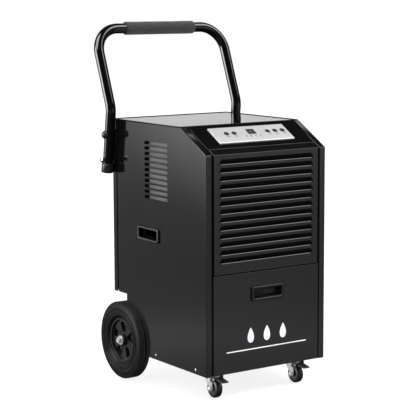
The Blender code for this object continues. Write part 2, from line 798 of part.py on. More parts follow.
def make_handle_hardware(side, sign, handle):
    """The plate on the cabinet's side with its pivot stud, the dome nut on it, and the lock pin."""
    axis = "X" if sign > 0 else "-X"
    skin = HALF + GAP
    face = TUBE_X - TUBE_RADIUS - TUBE_CLEARANCE
    outside = TUBE_X + TUBE_RADIUS + TUBE_CLEARANCE
    pivot = (0, lower_tube_depth(PIVOT_Z), PIVOT_Z)
    lock = (0, lower_tube_depth(LOCK_Z), LOCK_Z)
    half = BRACKET_WIDTH / 2
    corners = [
        (lower_tube_depth(z) + shift, z)
        for z, shift in (
            (LOCK_Z - BRACKET_FOOT, -half), (LOCK_Z - BRACKET_FOOT, half),
            (PIVOT_Z + BRACKET_MARGIN, half), (PIVOT_Z + BRACKET_MARGIN, -half),
        )
    ]
    # The plate stays on the cabinet, so its rear edge stops short of the cabinet's.
    corners = [(min(d, DEPTH - 0.001), z) for d, z in corners]
    plate = piece(
        f"handle_bracket_{side}",
        prism([(depth(d), z) for d, z in corners], *sorted((sign * skin, sign * face))),
        "black_plastic",
    )
    shaped(plate, rod(STUD_RADIUS, face - 0.001, outside + 0.006, axis, pivot, 12), "UNION")

    bore = STUD_RADIUS + GAP
    dome = (
        (0, outside + 0.009), (0.005, outside + 0.0078), (0.0085, outside + 0.005),
        (0.0100, outside + 0.002), (0.0100, outside), (bore, outside), (bore, outside + 0.0070),
        (0, outside + 0.0070),
    )
    piece(
        f"pivot_nut_{side}", along_axis(turned(dome, 16), axis, pivot), "black_plastic", None, True
    )

    slider = body(f"lock_pin_{side}_slide", (sign * outside, lock[1], lock[2]))
    nose = face + GAP
    pin = (
        (0, nose), (LOCK_PIN_RADIUS, nose), (LOCK_PIN_RADIUS, outside), (0.0065, outside),
        (0.0070, outside + 0.002), (0.0070, outside + 0.006), (0.0055, outside + 0.008),
        (0, outside + 0.008),
    )
    piece(f"lock_pin_{side}", along_axis(turned(pin, 16), axis, lock), "chrome", slider, True)
    slider.parent = handle
    slider.location -= handle.location


# Wheels

def make_rear_wheels():
    """Solid tyres on five-window rims, on one axle held by a nut at each end."""
    centre = (0, WHEEL_DEPTH, WHEEL_RADIUS)
    hub_low, hub_high = WHEEL_INNER_X + 0.002, WHEEL_INNER_X + TYRE_WIDTH - 0.004
    end = hub_high + 0.0105
    axle = rod(AXLE_RADIUS, -end + 0.002, end - 0.002, "X", centre)
    piece("rear_axle", axle, "zinc", None, True)
    for side, sign in SIDES:
        axis = "X" if sign > 0 else "-X"
        wheel = body(f"wheel_{side}", (sign * WHEEL_INNER_X, WHEEL_DEPTH, WHEEL_RADIUS))
        middle = WHEEL_INNER_X + TYRE_WIDTH / 2
        shoulder = WHEEL_RADIUS - 0.008
        half, tread = TYRE_WIDTH / 2, TREAD_WIDTH / 2
        profile = (
            (RIM_RADIUS, middle - RIM_SEAT_HALF), (RIM_RADIUS + 0.012, middle - half + 0.002),
            (RIM_RADIUS + 0.026, middle - half), (shoulder, middle - half + 0.001),
            (WHEEL_RADIUS - 0.0025, middle - tread - 0.001), (WHEEL_RADIUS, middle - tread + 0.002),
            (WHEEL_RADIUS, middle + tread - 0.002), (WHEEL_RADIUS - 0.0025, middle + tread + 0.001),
            (shoulder, middle + half - 0.001), (RIM_RADIUS + 0.026, middle + half),
            (RIM_RADIUS + 0.012, middle + half - 0.002), (RIM_RADIUS, middle + RIM_SEAT_HALF),
        )
        piece(f"tyre_{side}", along_axis(turned(profile, 36), axis, centre), "tyre", wheel, True)

        bore = AXLE_RADIUS + GAP
        lip = RIM_RADIUS - GAP
        seat = RIM_SEAT_HALF - 0.001
        profile = (
            (bore, hub_low), (HUB_RADIUS, hub_low), (HUB_RADIUS, middle - RIM_WEB_HALF),
            (lip - RIM_LIP, middle - RIM_WEB_HALF), (lip - RIM_LIP, middle - seat), (lip, middle - seat),
            (lip, middle + seat), (lip - RIM_LIP, middle + seat), (lip - RIM_LIP, middle + RIM_WEB_HALF),
            (HUB_RADIUS, middle + RIM_WEB_HALF), (HUB_RADIUS, hub_high), (bore, hub_high),
        )
        rim = along_axis(turned(profile, 30), axis, centre)
        rim = piece(f"rim_{side}", rim, "black_plastic", wheel, True)
        windows = []
        for number in range(SPOKE_COUNT):
            turn = Matrix.Rotation(2 * math.pi * (number + 0.5) / SPOKE_COUNT, 2)
            corners = ((-0.004, 0.020), (0.004, 0.020), (0.019, 0.046), (0.0, 0.049), (-0.019, 0.046))
            outline = [turn @ Vector(corner) for corner in corners]
            outline = [(depth(WHEEL_DEPTH) + u, WHEEL_RADIUS + v) for u, v in outline]
            span = sorted((sign * (middle - seat), sign * (middle + seat)))
            windows.append(prism(outline, *span))
        shaped(rim, joined(windows))

        washer = hub_high + GAP
        profile = (
            (0, washer + 0.0115), (0.006, washer + 0.0115), (0.0085, washer + 0.009),
            (0.0085, washer + 0.002), (0.012, washer + 0.002), (0.012, washer), (bore, washer),
            (bore, washer + 0.0098), (0, washer + 0.0098),
        )
        piece(f"axle_nut_{side}", along_axis(turned(profile, 12), axis, centre), "zinc")


def make_casters():
    """Swivel casters, each a plate, fork, wheel and brake pedal."""
    for side, sign in SIDES:
        x = sign * CASTER_X
        swivel_depth = CASTER_AXLE_DEPTH + CASTER_TRAIL
        plate_top = FLOOR_Z - SHEET - GAP
        crown = plate_top - CASTER_CROWN_DROP
        plate = piece(
            f"caster_plate_{side}",
            box(
                (x - CASTER_PLATE_HALF, swivel_depth - 0.025, plate_top - CASTER_PLATE_THICKNESS),
                (x + CASTER_PLATE_HALF, swivel_depth + 0.025, plate_top),
            ),
            "zinc",
        )
        kingpin = (
            (0, crown - 0.0068), (0.008, crown - 0.0068), (0.008, crown - 0.0045),
            (0.005, crown - 0.0045), (0.005, crown + GAP), (0.019, crown + GAP),
            (0.019, plate_top - 0.002), (0, plate_top - 0.002),
        )
        shaped(plate, along_axis(turned(kingpin, 16), "Z", (x, swivel_depth, 0)), "UNION")

        swivel = body(f"caster_{side}", (x, swivel_depth, crown))
        race = ((0.0053, crown - 0.004), (0.0205, crown - 0.004), (0.0205, crown), (0.0053, crown))
        fork = along_axis(turned(race, 16), "Z", (x, swivel_depth, 0))
        fork = piece(f"caster_fork_{side}", fork, "zinc", swivel)
        make_fork_legs(fork, x, swivel_depth, crown)
        make_caster_wheel(side, x, swivel)
        make_pedal(side, x, swivel, swivel_depth)


def fork_pedal_pin(swivel_depth):
    """(depth, z) of the brake pedal's pin."""
    return (swivel_depth - PEDAL_PIN_AHEAD, PEDAL_PIN_Z)


def make_fork_legs(fork, x, swivel_depth, crown):
    """Two legs down to the riveted axle, with holes for the pedal's pin."""
    axle = (x, CASTER_AXLE_DEPTH, CASTER_RADIUS)
    pin = fork_pedal_pin(swivel_depth)
    outline = [(swivel_depth + 0.012, crown - 0.001), (swivel_depth + 0.012, crown - 0.010)]
    for step in range(5):
        angle = math.radians(20 - 50 * step)
        outline.append((axle[1] + 0.0075 * math.cos(angle), axle[2] + 0.0075 * math.sin(angle)))
    outline += [
        (pin[0] - 0.005, pin[1] - 0.004), (pin[0] - 0.005, pin[1] + 0.004), (pin[0], crown - 0.001)
    ]
    inner = CASTER_TREAD_HALF + 0.0015
    legs = []
    for sign in (-1, 1):
        span = sorted((x + sign * inner, x + sign * (inner + FORK_SHEET)))
        legs.append(prism([(depth(d), z) for d, z in outline], *span))
    shaped(fork, joined(legs), "UNION")
    end = inner + FORK_SHEET + 0.002
    shaped(fork, rod(CASTER_AXLE_RADIUS, -end, end, "X", axle, 12), "UNION")
    shaped(fork, rod(PEDAL_PIN_RADIUS + GAP, -end, end, "X", (x, *pin), 12))


def make_caster_wheel(side, x, swivel):
    axle = (x, CASTER_AXLE_DEPTH, CASTER_RADIUS)
    wheel = body(f"caster_wheel_{side}_spin", axle)
    half = CASTER_TREAD_HALF
    bore = CASTER_AXLE_RADIUS + GAP
    profile = (
        (bore, -half), (0.017, -half), (0.0225, -half + 0.0005), (CASTER_RADIUS, -half + 0.004),
        (CASTER_RADIUS, half - 0.004), (0.0225, half - 0.0005), (0.017, half), (bore, half),
    )
    tread = along_axis(turned(profile, 24), "X", axle)
    piece(f"caster_wheel_{side}", tread, "black_plastic", wheel, True)
    wheel.parent = swivel
    wheel.location -= swivel.location


def make_pedal(side, x, swivel, swivel_depth):
    """A brake pedal on its pin, ahead of the wheel and above it."""
    pin = fork_pedal_pin(swivel_depth)
    tip = CASTER_AXLE_DEPTH - PEDAL_REACH
    pedal = body(f"brake_{side}", (x, *pin))
    corners = (
        (pin[0] + 0.004, pin[1] - 0.003), (pin[0] + 0.004, pin[1] + 0.003),
        (pin[0] - 0.006, pin[1] + 0.004), (tip + 0.003, pin[1] - 0.001), (tip, pin[1] - 0.003),
        (tip + 0.002, pin[1] - 0.005), (pin[0] - 0.008, pin[1] - 0.0035),
    )
    lever = piece(
        f"brake_pedal_{side}",
        prism([(depth(d), z) for d, z in corners], x - 0.009, x + 0.009),
        "black_plastic",
        pedal,
    )
    reach = CASTER_TREAD_HALF + 0.0055
    shaped(lever, rod(PEDAL_PIN_RADIUS, -reach, reach, "X", (x, *pin), 12), "UNION")
    pedal.parent = swivel
    pedal.location -= swivel.location


# Inside

def make_refrigeration():
    """Compressor, two finned coils and the shelf that separates them from the tank."""
    low = FLOOR_Z + GAP
    centre = (COMPRESSOR_X, COMPRESSOR_DEPTH, 0)
    profile = [(0, low + 0.001), (COMPRESSOR_RADIUS, low + 0.001)]
    shoulder = COMPRESSOR_TOP - COMPRESSOR_SHOULDER
    for step in range(5):
        angle = math.radians(20 * step)
        rise = COMPRESSOR_SHOULDER * math.sin(angle)
        profile.append((COMPRESSOR_RADIUS * math.cos(angle), shoulder + rise))
    profile.append((0, COMPRESSOR_TOP))
    compressor = piece(
        "compressor", along_axis(turned(profile, 20), "Z", centre), "compressor_shell", None, True
    )
    reach = COMPRESSOR_RADIUS + 0.010
    foot = box(
        (COMPRESSOR_X - reach, COMPRESSOR_DEPTH - reach, low),
        (COMPRESSOR_X + reach, COMPRESSOR_DEPTH + reach, low + 0.003),
    )
    shaped(compressor, foot, "UNION")

    shelf_half = HALF - SHEET - 3 * GAP
    shelf_back = DEPTH - REAR_FLANGE - SEAM - SHEET - 0.002
    shelf = piece(
        "divider_shelf",
        box((-shelf_half, 0.018, SHELF_Z), (shelf_half, shelf_back, SHELF_Z + SHEET)),
        "zinc",
    )
    shaped(shelf, rod(0.010, SHELF_Z - 0.01, SHELF_Z + 0.01, "Z", (0, 0.075, 0)))

    for name, start in (("evaporator_coil", 0.028), ("condenser_coil", 0.080)):
        coil = piece(
            name,
            box((-COIL_HALF, start, COIL_LOW), (COIL_HALF, start + COIL_THICKNESS, COIL_HIGH)),
            "coil_fins",
        )
        grooves = []
        pitch = 2 * COIL_HALF / COIL_FINS
        for number in range(COIL_FINS):
            x = -COIL_HALF + (number + 0.5) * pitch
            grooves.append(box(
                (x - pitch * 0.38, start - 0.01, COIL_LOW - 0.01),
                (x + pitch * 0.38, start + COIL_THICKNESS - COIL_SPINE, COIL_HIGH + 0.01),
            ))
        shaped(coil, joined(grooves))


def make_fan():
    """Shroud plate with a collar, the motor on its pedestal and a five-blade impeller."""
    ring = FAN_RADIUS + 0.004
    shroud_half = HALF - SHEET - 0.002
    shroud = piece(
        "fan_shroud",
        box(
            (-shroud_half, SHROUD_DEPTH, SHELF_Z + SHEET + GAP),
            (shroud_half, SHROUD_DEPTH + SHEET, TOP - 2 * SHEET - 0.002),
        ),
        "black_plastic",
    )
    centre = (0, SHROUD_DEPTH, FAN_Z)
    shaped(shroud, rod(ring + SHEET, 0.0005, 0.028, "Y", centre, 32), "UNION")
    shaped(shroud, rod(ring, -0.01, 0.04, "Y", centre, 32))

    motor = piece(
        "fan_motor", rod(MOTOR_RADIUS, 0.050, 0.100, "Y", centre, 20), "black_plastic", None, True
    )
    shaped(motor, rod(SHAFT_RADIUS, 0.012, 0.051, "Y", centre, 12), "UNION")
    pedestal = box(
        (-0.020, SHROUD_DEPTH + 0.055, SHELF_Z + SHEET + GAP),
        (0.020, SHROUD_DEPTH + 0.095, FAN_Z - 0.030),
    )
    shaped(motor, pedestal, "UNION")

    fan = body("fan", centre)
    bore = SHAFT_RADIUS + GAP
    hub = ((bore, 0.010), (0.028, 0.010), (0.032, 0.014), (0.032, 0.040), (bore, 0.040))
    impeller = piece(
        "fan_impeller", along_axis(turned(hub, 20), "Y", centre), "black_plastic", fan, True
    )
    blades = []
    for number in range(BLADE_COUNT):
        outline = [
            (0.029, -0.018), (0.070, -0.030), (0.112, -0.034), (0.115, 0.0), (0.112, 0.026), (0.029, 0.016)
        ]
        blade = prism(outline, -0.0012, 0.0012, "Z")
        blade.transform(Matrix.Rotation(math.radians(24), 4, "X"))
        blade.transform(Matrix.Rotation(2 * math.pi * number / BLADE_COUNT, 4, "Z"))
        blades.append(along_axis(blade, "Y", (0, SHROUD_DEPTH + 0.025, FAN_Z)))
    shaped(impeller, joined(blades), "UNION")


def make_services():
    """The mains inlet on the rear panel and the drain port on the wheel bay's wall."""
    wide, tall = INLET_HALF_WIDTH, INLET_HALF_HEIGHT
    flange = box(
        (INLET_X - wide - 0.010, DEPTH + GAP, INLET_Z - tall - 0.004),
        (INLET_X + wide + 0.010, DEPTH + 0.003, INLET_Z + tall + 0.004),
    )
    inlet = piece("power_inlet", flange, "black_plastic")
    housing = box(
        (INLET_X - wide, DEPTH - 0.024, INLET_Z - tall), (INLET_X + wide, DEPTH + 0.001, INLET_Z + tall)
    )
    shaped(inlet, housing, "UNION")
    wall = 0.0018
    socket = box(
        (INLET_X - wide + wall, DEPTH - 0.018, INLET_Z - tall + wall),
        (INLET_X + wide - wall, DEPTH + 0.01, INLET_Z + tall - wall),
    )
    shaped(inlet, socket)

    bore = DRAIN_BORE
    profile = (
        (bore, -0.012), (DRAIN_RADIUS, -0.012), (DRAIN_RADIUS, GAP), (0.013, GAP), (0.013, 0.003),
        (0.0075, 0.003), (0.0075, 0.016), (0.0085, 0.018), (0.0072, 0.024), (bore, 0.024),
    )
    port = along_axis(turned(profile, 16), "Y", (DRAIN_X, NOTCH_DEPTH, DRAIN_Z))
    piece("drain_port", port, "black_plastic", None, True)


for old in list(bpy.data.objects):
    bpy.data.objects.remove(old)
FINISHES = make_finishes()
make_side_panels()
make_shell()
make_side_pulls()
make_front()
make_console()
make_handle()
make_rear_wheels()
make_casters()
make_refrigeration()
make_fan()
make_services()
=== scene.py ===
"""Looks for the commercial dehumidifier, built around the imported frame.

Metres, +Z up, the front facing -Y. Places come from the frame's boxes and from the named sizes
below. Depths run back from the plane of the front panels, FRONT, the foremost face of the grille.
"""

import json
import math

import bmesh
import bpy
from mathutils import Matrix, Vector, noise


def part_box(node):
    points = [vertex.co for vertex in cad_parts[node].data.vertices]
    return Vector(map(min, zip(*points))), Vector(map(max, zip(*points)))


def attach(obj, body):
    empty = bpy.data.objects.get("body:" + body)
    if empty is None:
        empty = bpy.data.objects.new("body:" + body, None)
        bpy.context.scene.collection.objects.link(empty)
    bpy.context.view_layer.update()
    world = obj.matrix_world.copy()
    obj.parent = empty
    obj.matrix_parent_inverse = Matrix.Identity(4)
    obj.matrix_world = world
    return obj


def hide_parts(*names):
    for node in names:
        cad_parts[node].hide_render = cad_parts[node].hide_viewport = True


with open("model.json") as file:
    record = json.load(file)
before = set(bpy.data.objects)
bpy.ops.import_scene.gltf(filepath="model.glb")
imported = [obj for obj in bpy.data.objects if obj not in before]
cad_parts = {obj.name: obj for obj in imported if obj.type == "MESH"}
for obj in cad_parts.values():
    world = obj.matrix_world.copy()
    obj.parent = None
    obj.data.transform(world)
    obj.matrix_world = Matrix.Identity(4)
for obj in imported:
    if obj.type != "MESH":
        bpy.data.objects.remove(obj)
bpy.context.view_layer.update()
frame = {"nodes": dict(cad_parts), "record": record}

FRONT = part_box("front_grille")[0].y
SIDES = (("left", -1), ("right", 1))


def span(node):
    """A node's lowest and highest corner as (x, depth, z)."""
    low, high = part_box(node)
    shift = Vector((0, FRONT, 0))
    return Vector(low) - shift, Vector(high) - shift


# The cabinet. x is from the middle, depth from the front, z from the floor.
SHEET = 0.0012
FOLD = 0.0017
CABINET_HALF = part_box("top_panel")[1].x
CABINET_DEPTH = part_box("top_panel")[1].y - FRONT
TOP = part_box("top_panel")[1].z
FRONT_TOP = 0.635
SLOPE_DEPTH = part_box("top_panel")[0].y - FRONT
SLOPE_ANGLE = math.atan2(TOP - FRONT_TOP, SLOPE_DEPTH)
NOTCH_DEPTH = 0.384
NOTCH_TOP = 0.224
FLANGE = 0.0205
FLANGE_SINK = 0.0009
REAR_FLANGE = 0.018
GROOVE = 0.0020
PANEL_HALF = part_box("front_grille")[1].x
GRILLE_LIP = 0.024
SEAM = 0.0019
LOUVRE_COUNT = 13
LOUVRE_PITCH = 0.021
LOUVRE_HEIGHT = 0.0124
LOUVRE_HALF = 0.150
LOUVRE_TOP = 0.6232
LOUVRE_DEPTH = 0.0088
LOUVRE_END = 0.009
LOUVRE_SLANT = 0.0045
LIP_RADIUS = 0.0036
LIP_TURN = 50
VENT_COUNT = 11
VENT_PITCH = 0.0143
VENT_HEIGHT = 0.009
VENT_TOP = 0.647
VENT_FRONT = 0.174
VENT_BACK = 0.288
OUTLET_COUNT = 12
OUTLET_PITCH = 0.020
OUTLET_HALF = 0.130
OUTLET_TOP = 0.616
PULL_HALF = 0.051
PULL_RISE = 0.019

# The console, on the slope: x is across, along runs up the slope
PLATE_OUT = 0.0033
BUTTON_X = (-0.077, -0.053, 0.054, 0.078, 0.102)
BUTTON_ALONG = 0.084
WINDOW_X = 0.002
WINDOW_ALONG = (0.076, 0.0975)
STRIP_ALONG = (0.067, 0.0715)
LAMP_X = (-0.0225, -0.0085, 0.0070, 0.0220)
PLATE_ALONG = (0.0455, 0.1125)
BUTTON_HOLE = 0.0075
WINDOW_HALF = 0.0124
STRIP_HALF = 0.0268

# The handle: its corners are (depth, z)
TUBE_RADIUS = 0.0140
TUBE_X = 0.2080
TUBE_KNEE = (CABINET_DEPTH - 0.024, TOP + 0.027)
TUBE_FOOT = (CABINET_DEPTH - 0.001, TOP - 0.144)
HANDLE_LEAN = math.radians(21.0)
HANDLE_REACH = 0.228
CORNER_RADIUS = 0.070
KNEE_RADIUS = 0.055
GRIP_RADIUS = 0.0183
GRIP_HALF = 0.114
PIVOT_Z = TOP - 0.043
LOCK_Z = TOP - 0.112

# Wheels, casters and what is inside
RIM_RADIUS = 0.060
SPOKE_COUNT = 5
WINDOW_CORNERS = ((-0.0038, 0.0205), (0.0038, 0.0205), (0.0158, 0.0460), (0.0, 0.0508), (-0.0158, 0.0460))
SWIVEL_DEPTH = 0.0645
PEDAL_PIN = (SWIVEL_DEPTH - 0.032, 0.0525)
FLOAT_PIN = (0.193, 0.2702)
COMPRESSOR_CENTRE = (-0.060, 0.285, 0)
COMPRESSOR_RADIUS = 0.058
COMPRESSOR_DOME = 0.024
SIDE_SCREWS = ((0.0504, 0.081), (0.2386, 0.082))
REAR_SCREW_Z = (0.245, 0.400, 0.540, 0.680)

# The plain decoration on the door: three drops over a line
DROP_Z = 0.163
DROP_PITCH = 0.052
DROP_HALF = (0.0130, 0.0200)
LINE_HALF = (0.128, 0.0014)
LINE_BELOW = 0.037

# The camera, and the yaw, pitch and roll of its view in degrees
CAMERA_PLACE = (-2.2622, FRONT - 3.0089, 1.0320)
CAMERA_TURN = (34.627, 8.204, -0.196)
CAMERA_LENS = 128.28

# What reflections see: a dim level by (elevation in degrees, level), and soft bright patches by
# (direction, degrees to its edge, degrees to its core, level)
SPHERE_RADIUS = 200.0
DIM = (
    (-60, 0.02), (-25, 0.03), (-15, 0.04), (-14.3, 0.06), (-13.6, 0.26), (-13.1, 0.54), (-12.6, 0.25),
    (-12.1, 0.10), (-11.4, 0.05), (-10, 0.05), (-9, 0.07), (-8, 0.10), (-7, 0.17), (-6, 0.30), (-5, 0.45),
    (-3, 0.25), (3, 0.05), (15, 0.04), (40, 0.02), (70, 0.04),
)
PATCHES = (
    ((-0.529, 0.831, -0.174), 26, 8, 0.31),  # the left side
    ((-0.616, 0.788, -0.017), 8.4, 3.5, 1.9),  # the upper left side
    ((0.411, -0.903, -0.122), 23.5, 9, 0.60),  # the front
    ((0.56, 0.81, 0.14), 30, 12, 0.84),  # the top
    ((-0.86, 0.46, 0.14), 22, 10, 13.0),  # the handle and the upright folds
    ((-0.62, 0.10, 0.75), 28, 18, 9.0),  # the slope's folds
    ((0.56, -0.43, 0.70), 21, 12, 7.0),  # the louvres' lips
)


# Materials: each is a procedural node tree on a Principled shader

def shader_of(name, colour, roughness, metallic=0.0, **settings):
    """A new material, its node tree and its Principled node."""
    material = bpy.data.materials.new(name)
    material.use_nodes = True
    tree = material.node_tree
    shader = tree.nodes["Principled BSDF"]
    shader.inputs["Base Color"].default_value = (*colour, 1)
    shader.inputs["Roughness"].default_value = roughness
    shader.inputs["Metallic"].default_value = metallic
    for socket, value in settings.items():
        shader.inputs[socket.replace("_", " ")].default_value = value
    return material, tree, shader


def add_node(tree, kind, values=None, **links):
    """A node with socket values and links. A link's name is the input, with _ for a space."""
    node = tree.nodes.new(kind)
    for key, value in (values or {}).items():
        if key in node.inputs:
            node.inputs[key].default_value = value
        else:
            setattr(node, key, value)
    for key, source in links.items():
        tree.links.new(source, node.inputs[key.replace("_", " ")])
    return node


def object_noise(tree, scale, detail=3.0, stretch=(1, 1, 1), roughness=0.5):
    """Noise in the object's own coordinates, stretched per axis."""
    place = add_node(tree, "ShaderNodeTexCoord")
    mapped = add_node(tree, "ShaderNodeMapping", {"Scale": stretch}, Vector=place.outputs["Object"])
    return add_node(
        tree, "ShaderNodeTexNoise",
        {"Scale": scale, "Detail": detail, "Roughness": roughness}, Vector=mapped.outputs["Vector"],
    )


def tint(tree, shader, source, low, high, at=(0.35, 0.65)):
    """The base colour, from a ramp between two colours."""
    node = add_node(tree, "ShaderNodeValToRGB", Fac=source)
    for element, place, colour in zip(node.color_ramp.elements, at, (low, high)):
        element.position = place
        element.color = (*colour, 1)
    tree.links.new(node.outputs["Color"], shader.inputs["Base Color"])


def gloss(tree, shader, source, low, high):
    """The roughness, between two values."""
    node = add_node(tree, "ShaderNodeMapRange", {"To Min": low, "To Max": high}, Value=source)
    tree.links.new(node.outputs["Result"], shader.inputs["Roughness"])


def object_texture(tree, kind, values):
    """A texture in the object's own coordinates."""
    place = add_node(tree, "ShaderNodeTexCoord")
    return add_node(tree, kind, values, Vector=place.outputs["Object"])


def bump(tree, shader, height, distance, strength=1.0, under=None):
    node = add_node(tree, "ShaderNodeBump", {"Distance": distance, "Strength": strength}, Height=height)
    if under:
        tree.links.new(under.outputs["Normal"], node.inputs["Normal"])
    tree.links.new(node.outputs["Normal"], shader.inputs["Normal"])
    return node


def coated_steel(name, colour, roughness, peel, ior=1.5):
    """Painted sheet: orange peel, a little unevenness in gloss, and faint dust."""
    material, tree, shader = shader_of(name, colour, roughness[0], IOR=ior)
    fine = object_noise(tree, 900, 2.0)
    broad = object_noise(tree, 9, 4.0)
    dust = object_noise(tree, 2600, 1.0)
    pale = tuple(min(1, part * 1.5 + 0.002) for part in colour)
    tint(tree, shader, dust.outputs["Fac"], colour, pale, (0.45, 0.8))
    gloss(tree, shader, broad.outputs["Fac"], *roughness)
    bump(tree, shader, fine.outputs["Fac"], peel)
    return material


def moulded(name, colour, roughness, grain, scale=1400, **settings):
    """Moulded plastic or rubber with a spark-eroded grain."""
    material, tree, shader = shader_of(name, colour, roughness, **settings)
    fine = object_noise(tree, scale, 3.0)
    broad = object_noise(tree, 14, 3.0)
    pale = tuple(min(1, part * 1.35 + 0.002) for part in colour)
    tint(tree, shader, broad.outputs["Fac"], colour, pale)
    gloss(tree, shader, fine.outputs["Fac"], roughness - 0.08, roughness + 0.08)
    bump(tree, shader, fine.outputs["Fac"], grain)
    return material


def brushed(name, colour, roughness, stretch, metallic=1.0, depth=0.00003):
    """Metal or foil brushed along one axis."""
    material, tree, shader = shader_of(name, colour, roughness, metallic)
    lines = object_noise(tree, 40, 4.0, stretch, 0.7)
    dark = tuple(part * 0.82 for part in colour)
    tint(tree, shader, lines.outputs["Fac"], dark, colour, (0.3, 0.7))
    gloss(tree, shader, lines.outputs["Fac"], roughness - 0.06, roughness + 0.1)
    bump(tree, shader, lines.outputs["Fac"], depth, 0.6)
    return material


def plated(name, colour, roughness, metallic):
    """Zinc plating: small crystals that differ a little in colour and gloss."""
    material, tree, shader = shader_of(name, colour, roughness, metallic)
    crystals = object_texture(tree, "ShaderNodeTexVoronoi", {"Scale": 260.0})
    broad = object_noise(tree, 30, 4.0)
    dark = tuple(part * 0.75 for part in colour)
    mixed = add_node(
        tree, "ShaderNodeMix", {"data_type": "FLOAT", "Factor": 0.4},
        A=crystals.outputs["Distance"], B=broad.outputs["Fac"],
    )
    tint(tree, shader, broad.outputs["Fac"], dark, colour)
    gloss(tree, shader, mixed.outputs["Result"], roughness - 0.05, roughness + 0.15)
    bump(tree, shader, crystals.outputs["Distance"], 0.00002, 0.5)
    return material


def woven(name, colour, pitch, roughness=0.9):
    """An open weave: two crossed sine waves in the panel's plane."""
    material, tree, shader = shader_of(name, colour, roughness)
    both = add_node(tree, "ShaderNodeMath", {"operation": "MAXIMUM"})
    for number, axis in enumerate(("X", "Z")):
        values = {"Scale": 1 / (pitch * 6.28), "bands_direction": axis}
        wave = object_texture(tree, "ShaderNodeTexWave", values)
        tree.links.new(wave.outputs["Fac"], both.inputs[number])
    dark = tuple(part * 0.2 for part in colour)
    tint(tree, shader, both.outputs[0], dark, colour, (0.5, 0.9))
    bump(tree, shader, both.outputs[0], 0.0004)
    return material


def foam_material():
    """Closed-cell foam: fine cells, a matt skin, scuffs that are a little lighter."""
    sheen = {"Sheen_Weight": 0.16, "Sheen_Roughness": 0.6}
    material, tree, shader = shader_of("foam", (0.022, 0.022, 0.023), 0.82, **sheen)
    cells = object_texture(tree, "ShaderNodeTexVoronoi", {"Scale": 900.0})
    scuffs = object_noise(tree, 60, 5.0, (0.3, 1, 1), 0.7)
    tint(tree, shader, scuffs.outputs["Fac"], (0.013, 0.013, 0.0135), (0.024, 0.024, 0.0245))
    first = bump(tree, shader, scuffs.outputs["Fac"], 0.0004, 0.5)
    bump(tree, shader, cells.outputs["Distance"], 0.00025, 0.8, first)
    return material


def board_material():
    """A circuit board: green solder mask with tracks that show through."""
    material, tree, shader = shader_of("circuit_board", (0.01, 0.08, 0.03), 0.35)
    tracks = object_texture(tree, "ShaderNodeTexBrick", {
        "Scale": 60.0, "Color1": (0.01, 0.08, 0.03, 1), "Color2": (0.012, 0.1, 0.035, 1),
        "Mortar": (0.02, 0.16, 0.06, 1), "Mortar Size": 0.06,
    })
    tree.links.new(tracks.outputs["Color"], shader.inputs["Base Color"])
    bump(tree, shader, tracks.outputs["Fac"], 0.00005)
    return material


def make_materials():
    made = {
        name: coated_steel(name, *settings) for name, settings in {
            "powder_coat": ((0.0035, 0.0035, 0.0039), (0.07, 0.11), 0.000006, 1.42),
            "gloss_black": ((0.002, 0.002, 0.0022), (0.05, 0.08), 0.000004),
            "tube_gloss": ((0.0015, 0.0015, 0.0017), (0.07, 0.10), 0.000004),
            "compressor_shell": ((0.008, 0.008, 0.009), (0.22, 0.3), 0.00005),
        }.items()
    }
    for name, settings, extra in (
        ("display", ((0.006, 0.006, 0.006), 0.16, 0.000004), {}),
        ("button_rubber", ((0.0132, 0.0132, 0.0138), 0.45, 0.00002), {}),
        ("black_plastic", ((0.005, 0.005, 0.0053), 0.38, 0.00004), {}),
        ("tyre", ((0.0022, 0.0022, 0.0024), 0.40, 0.00002, 700), {"IOR": 1.19}),
        ("rim_plastic", ((0.0035, 0.0035, 0.0037), 0.42, 0.00003), {"IOR": 1.26}),
        # Near-black with almost no reflection: painted shade inside the side pulls' pockets; on the indicator
        # lamps it is their own unlit black.
        ("recess", ((0.0008, 0.0008, 0.0009), 0.85, 0.00004), {"IOR": 1.05}),
        ("marking", ((0.045, 0.045, 0.048), 0.5, 0.00001), {}),
        ("decal", ((0.66, 0.68, 0.72), 0.45, 0.00001), {}),
        ("digits", ((0.10, 0.115, 0.09), 0.35, 0.00001), {}),
        ("tank_plastic", ((0.70, 0.73, 0.75), 0.30, 0.00003, 900), {
            "Subsurface_Weight": 0.15, "Subsurface_Radius": (0.01, 0.01, 0.01),
        }),
    ):
        made[name] = moulded(name, *settings, **extra)
    for name, settings in {
        "silver_plate": ((0.66, 0.66, 0.67), 0.38, (0.02, 1, 1), 0.35),
        "chrome": ((0.80, 0.80, 0.81), 0.14, (1, 1, 1), 1.0, 0.000004),
        "mesh_steel": ((0.40, 0.40, 0.395), 0.42, (1, 1, 1), 0.3),
        "coil_fins": ((0.72, 0.72, 0.73), 0.32, (1, 1, 0.05)),
        "copper": ((0.72, 0.36, 0.22), 0.25, (1, 1, 1)),
    }.items():
        made[name] = brushed(name, *settings)
    made["zinc"] = plated("zinc", (0.62, 0.62, 0.60), 0.28, 0.6)
    made["foam"] = foam_material()
    made["filter_medium"] = woven("filter_medium", (0.012, 0.012, 0.013), 0.0022)
    made["circuit_board"] = board_material()
    return made


MATERIALS = make_materials()


# Mesh helpers. They work in (x, depth, z): piece() moves the mesh to the frame's coordinates.

def box_in(bm, low, high):
    low, high = Vector(low), Vector(high)
    place = Matrix.Translation((low + high) / 2) @ Matrix.Diagonal((*(high - low), 1))
    return bmesh.ops.create_cube(bm, size=1, matrix=place)["verts"]


def laid_out(axis, along, a, b):
    """A point from its place along an axis and its two other coordinates."""
    return {"X": (along, a, b), "Y": (a, along, b), "Z": (a, b, along)}[axis]


def bridge(bm, first, second):
    """A band of faces between two closed rings of equally many vertices."""
    count = len(first)
    for i in range(count):
        j = (i + 1) % count
        bm.faces.new((first[i], first[j], second[j], second[i]))


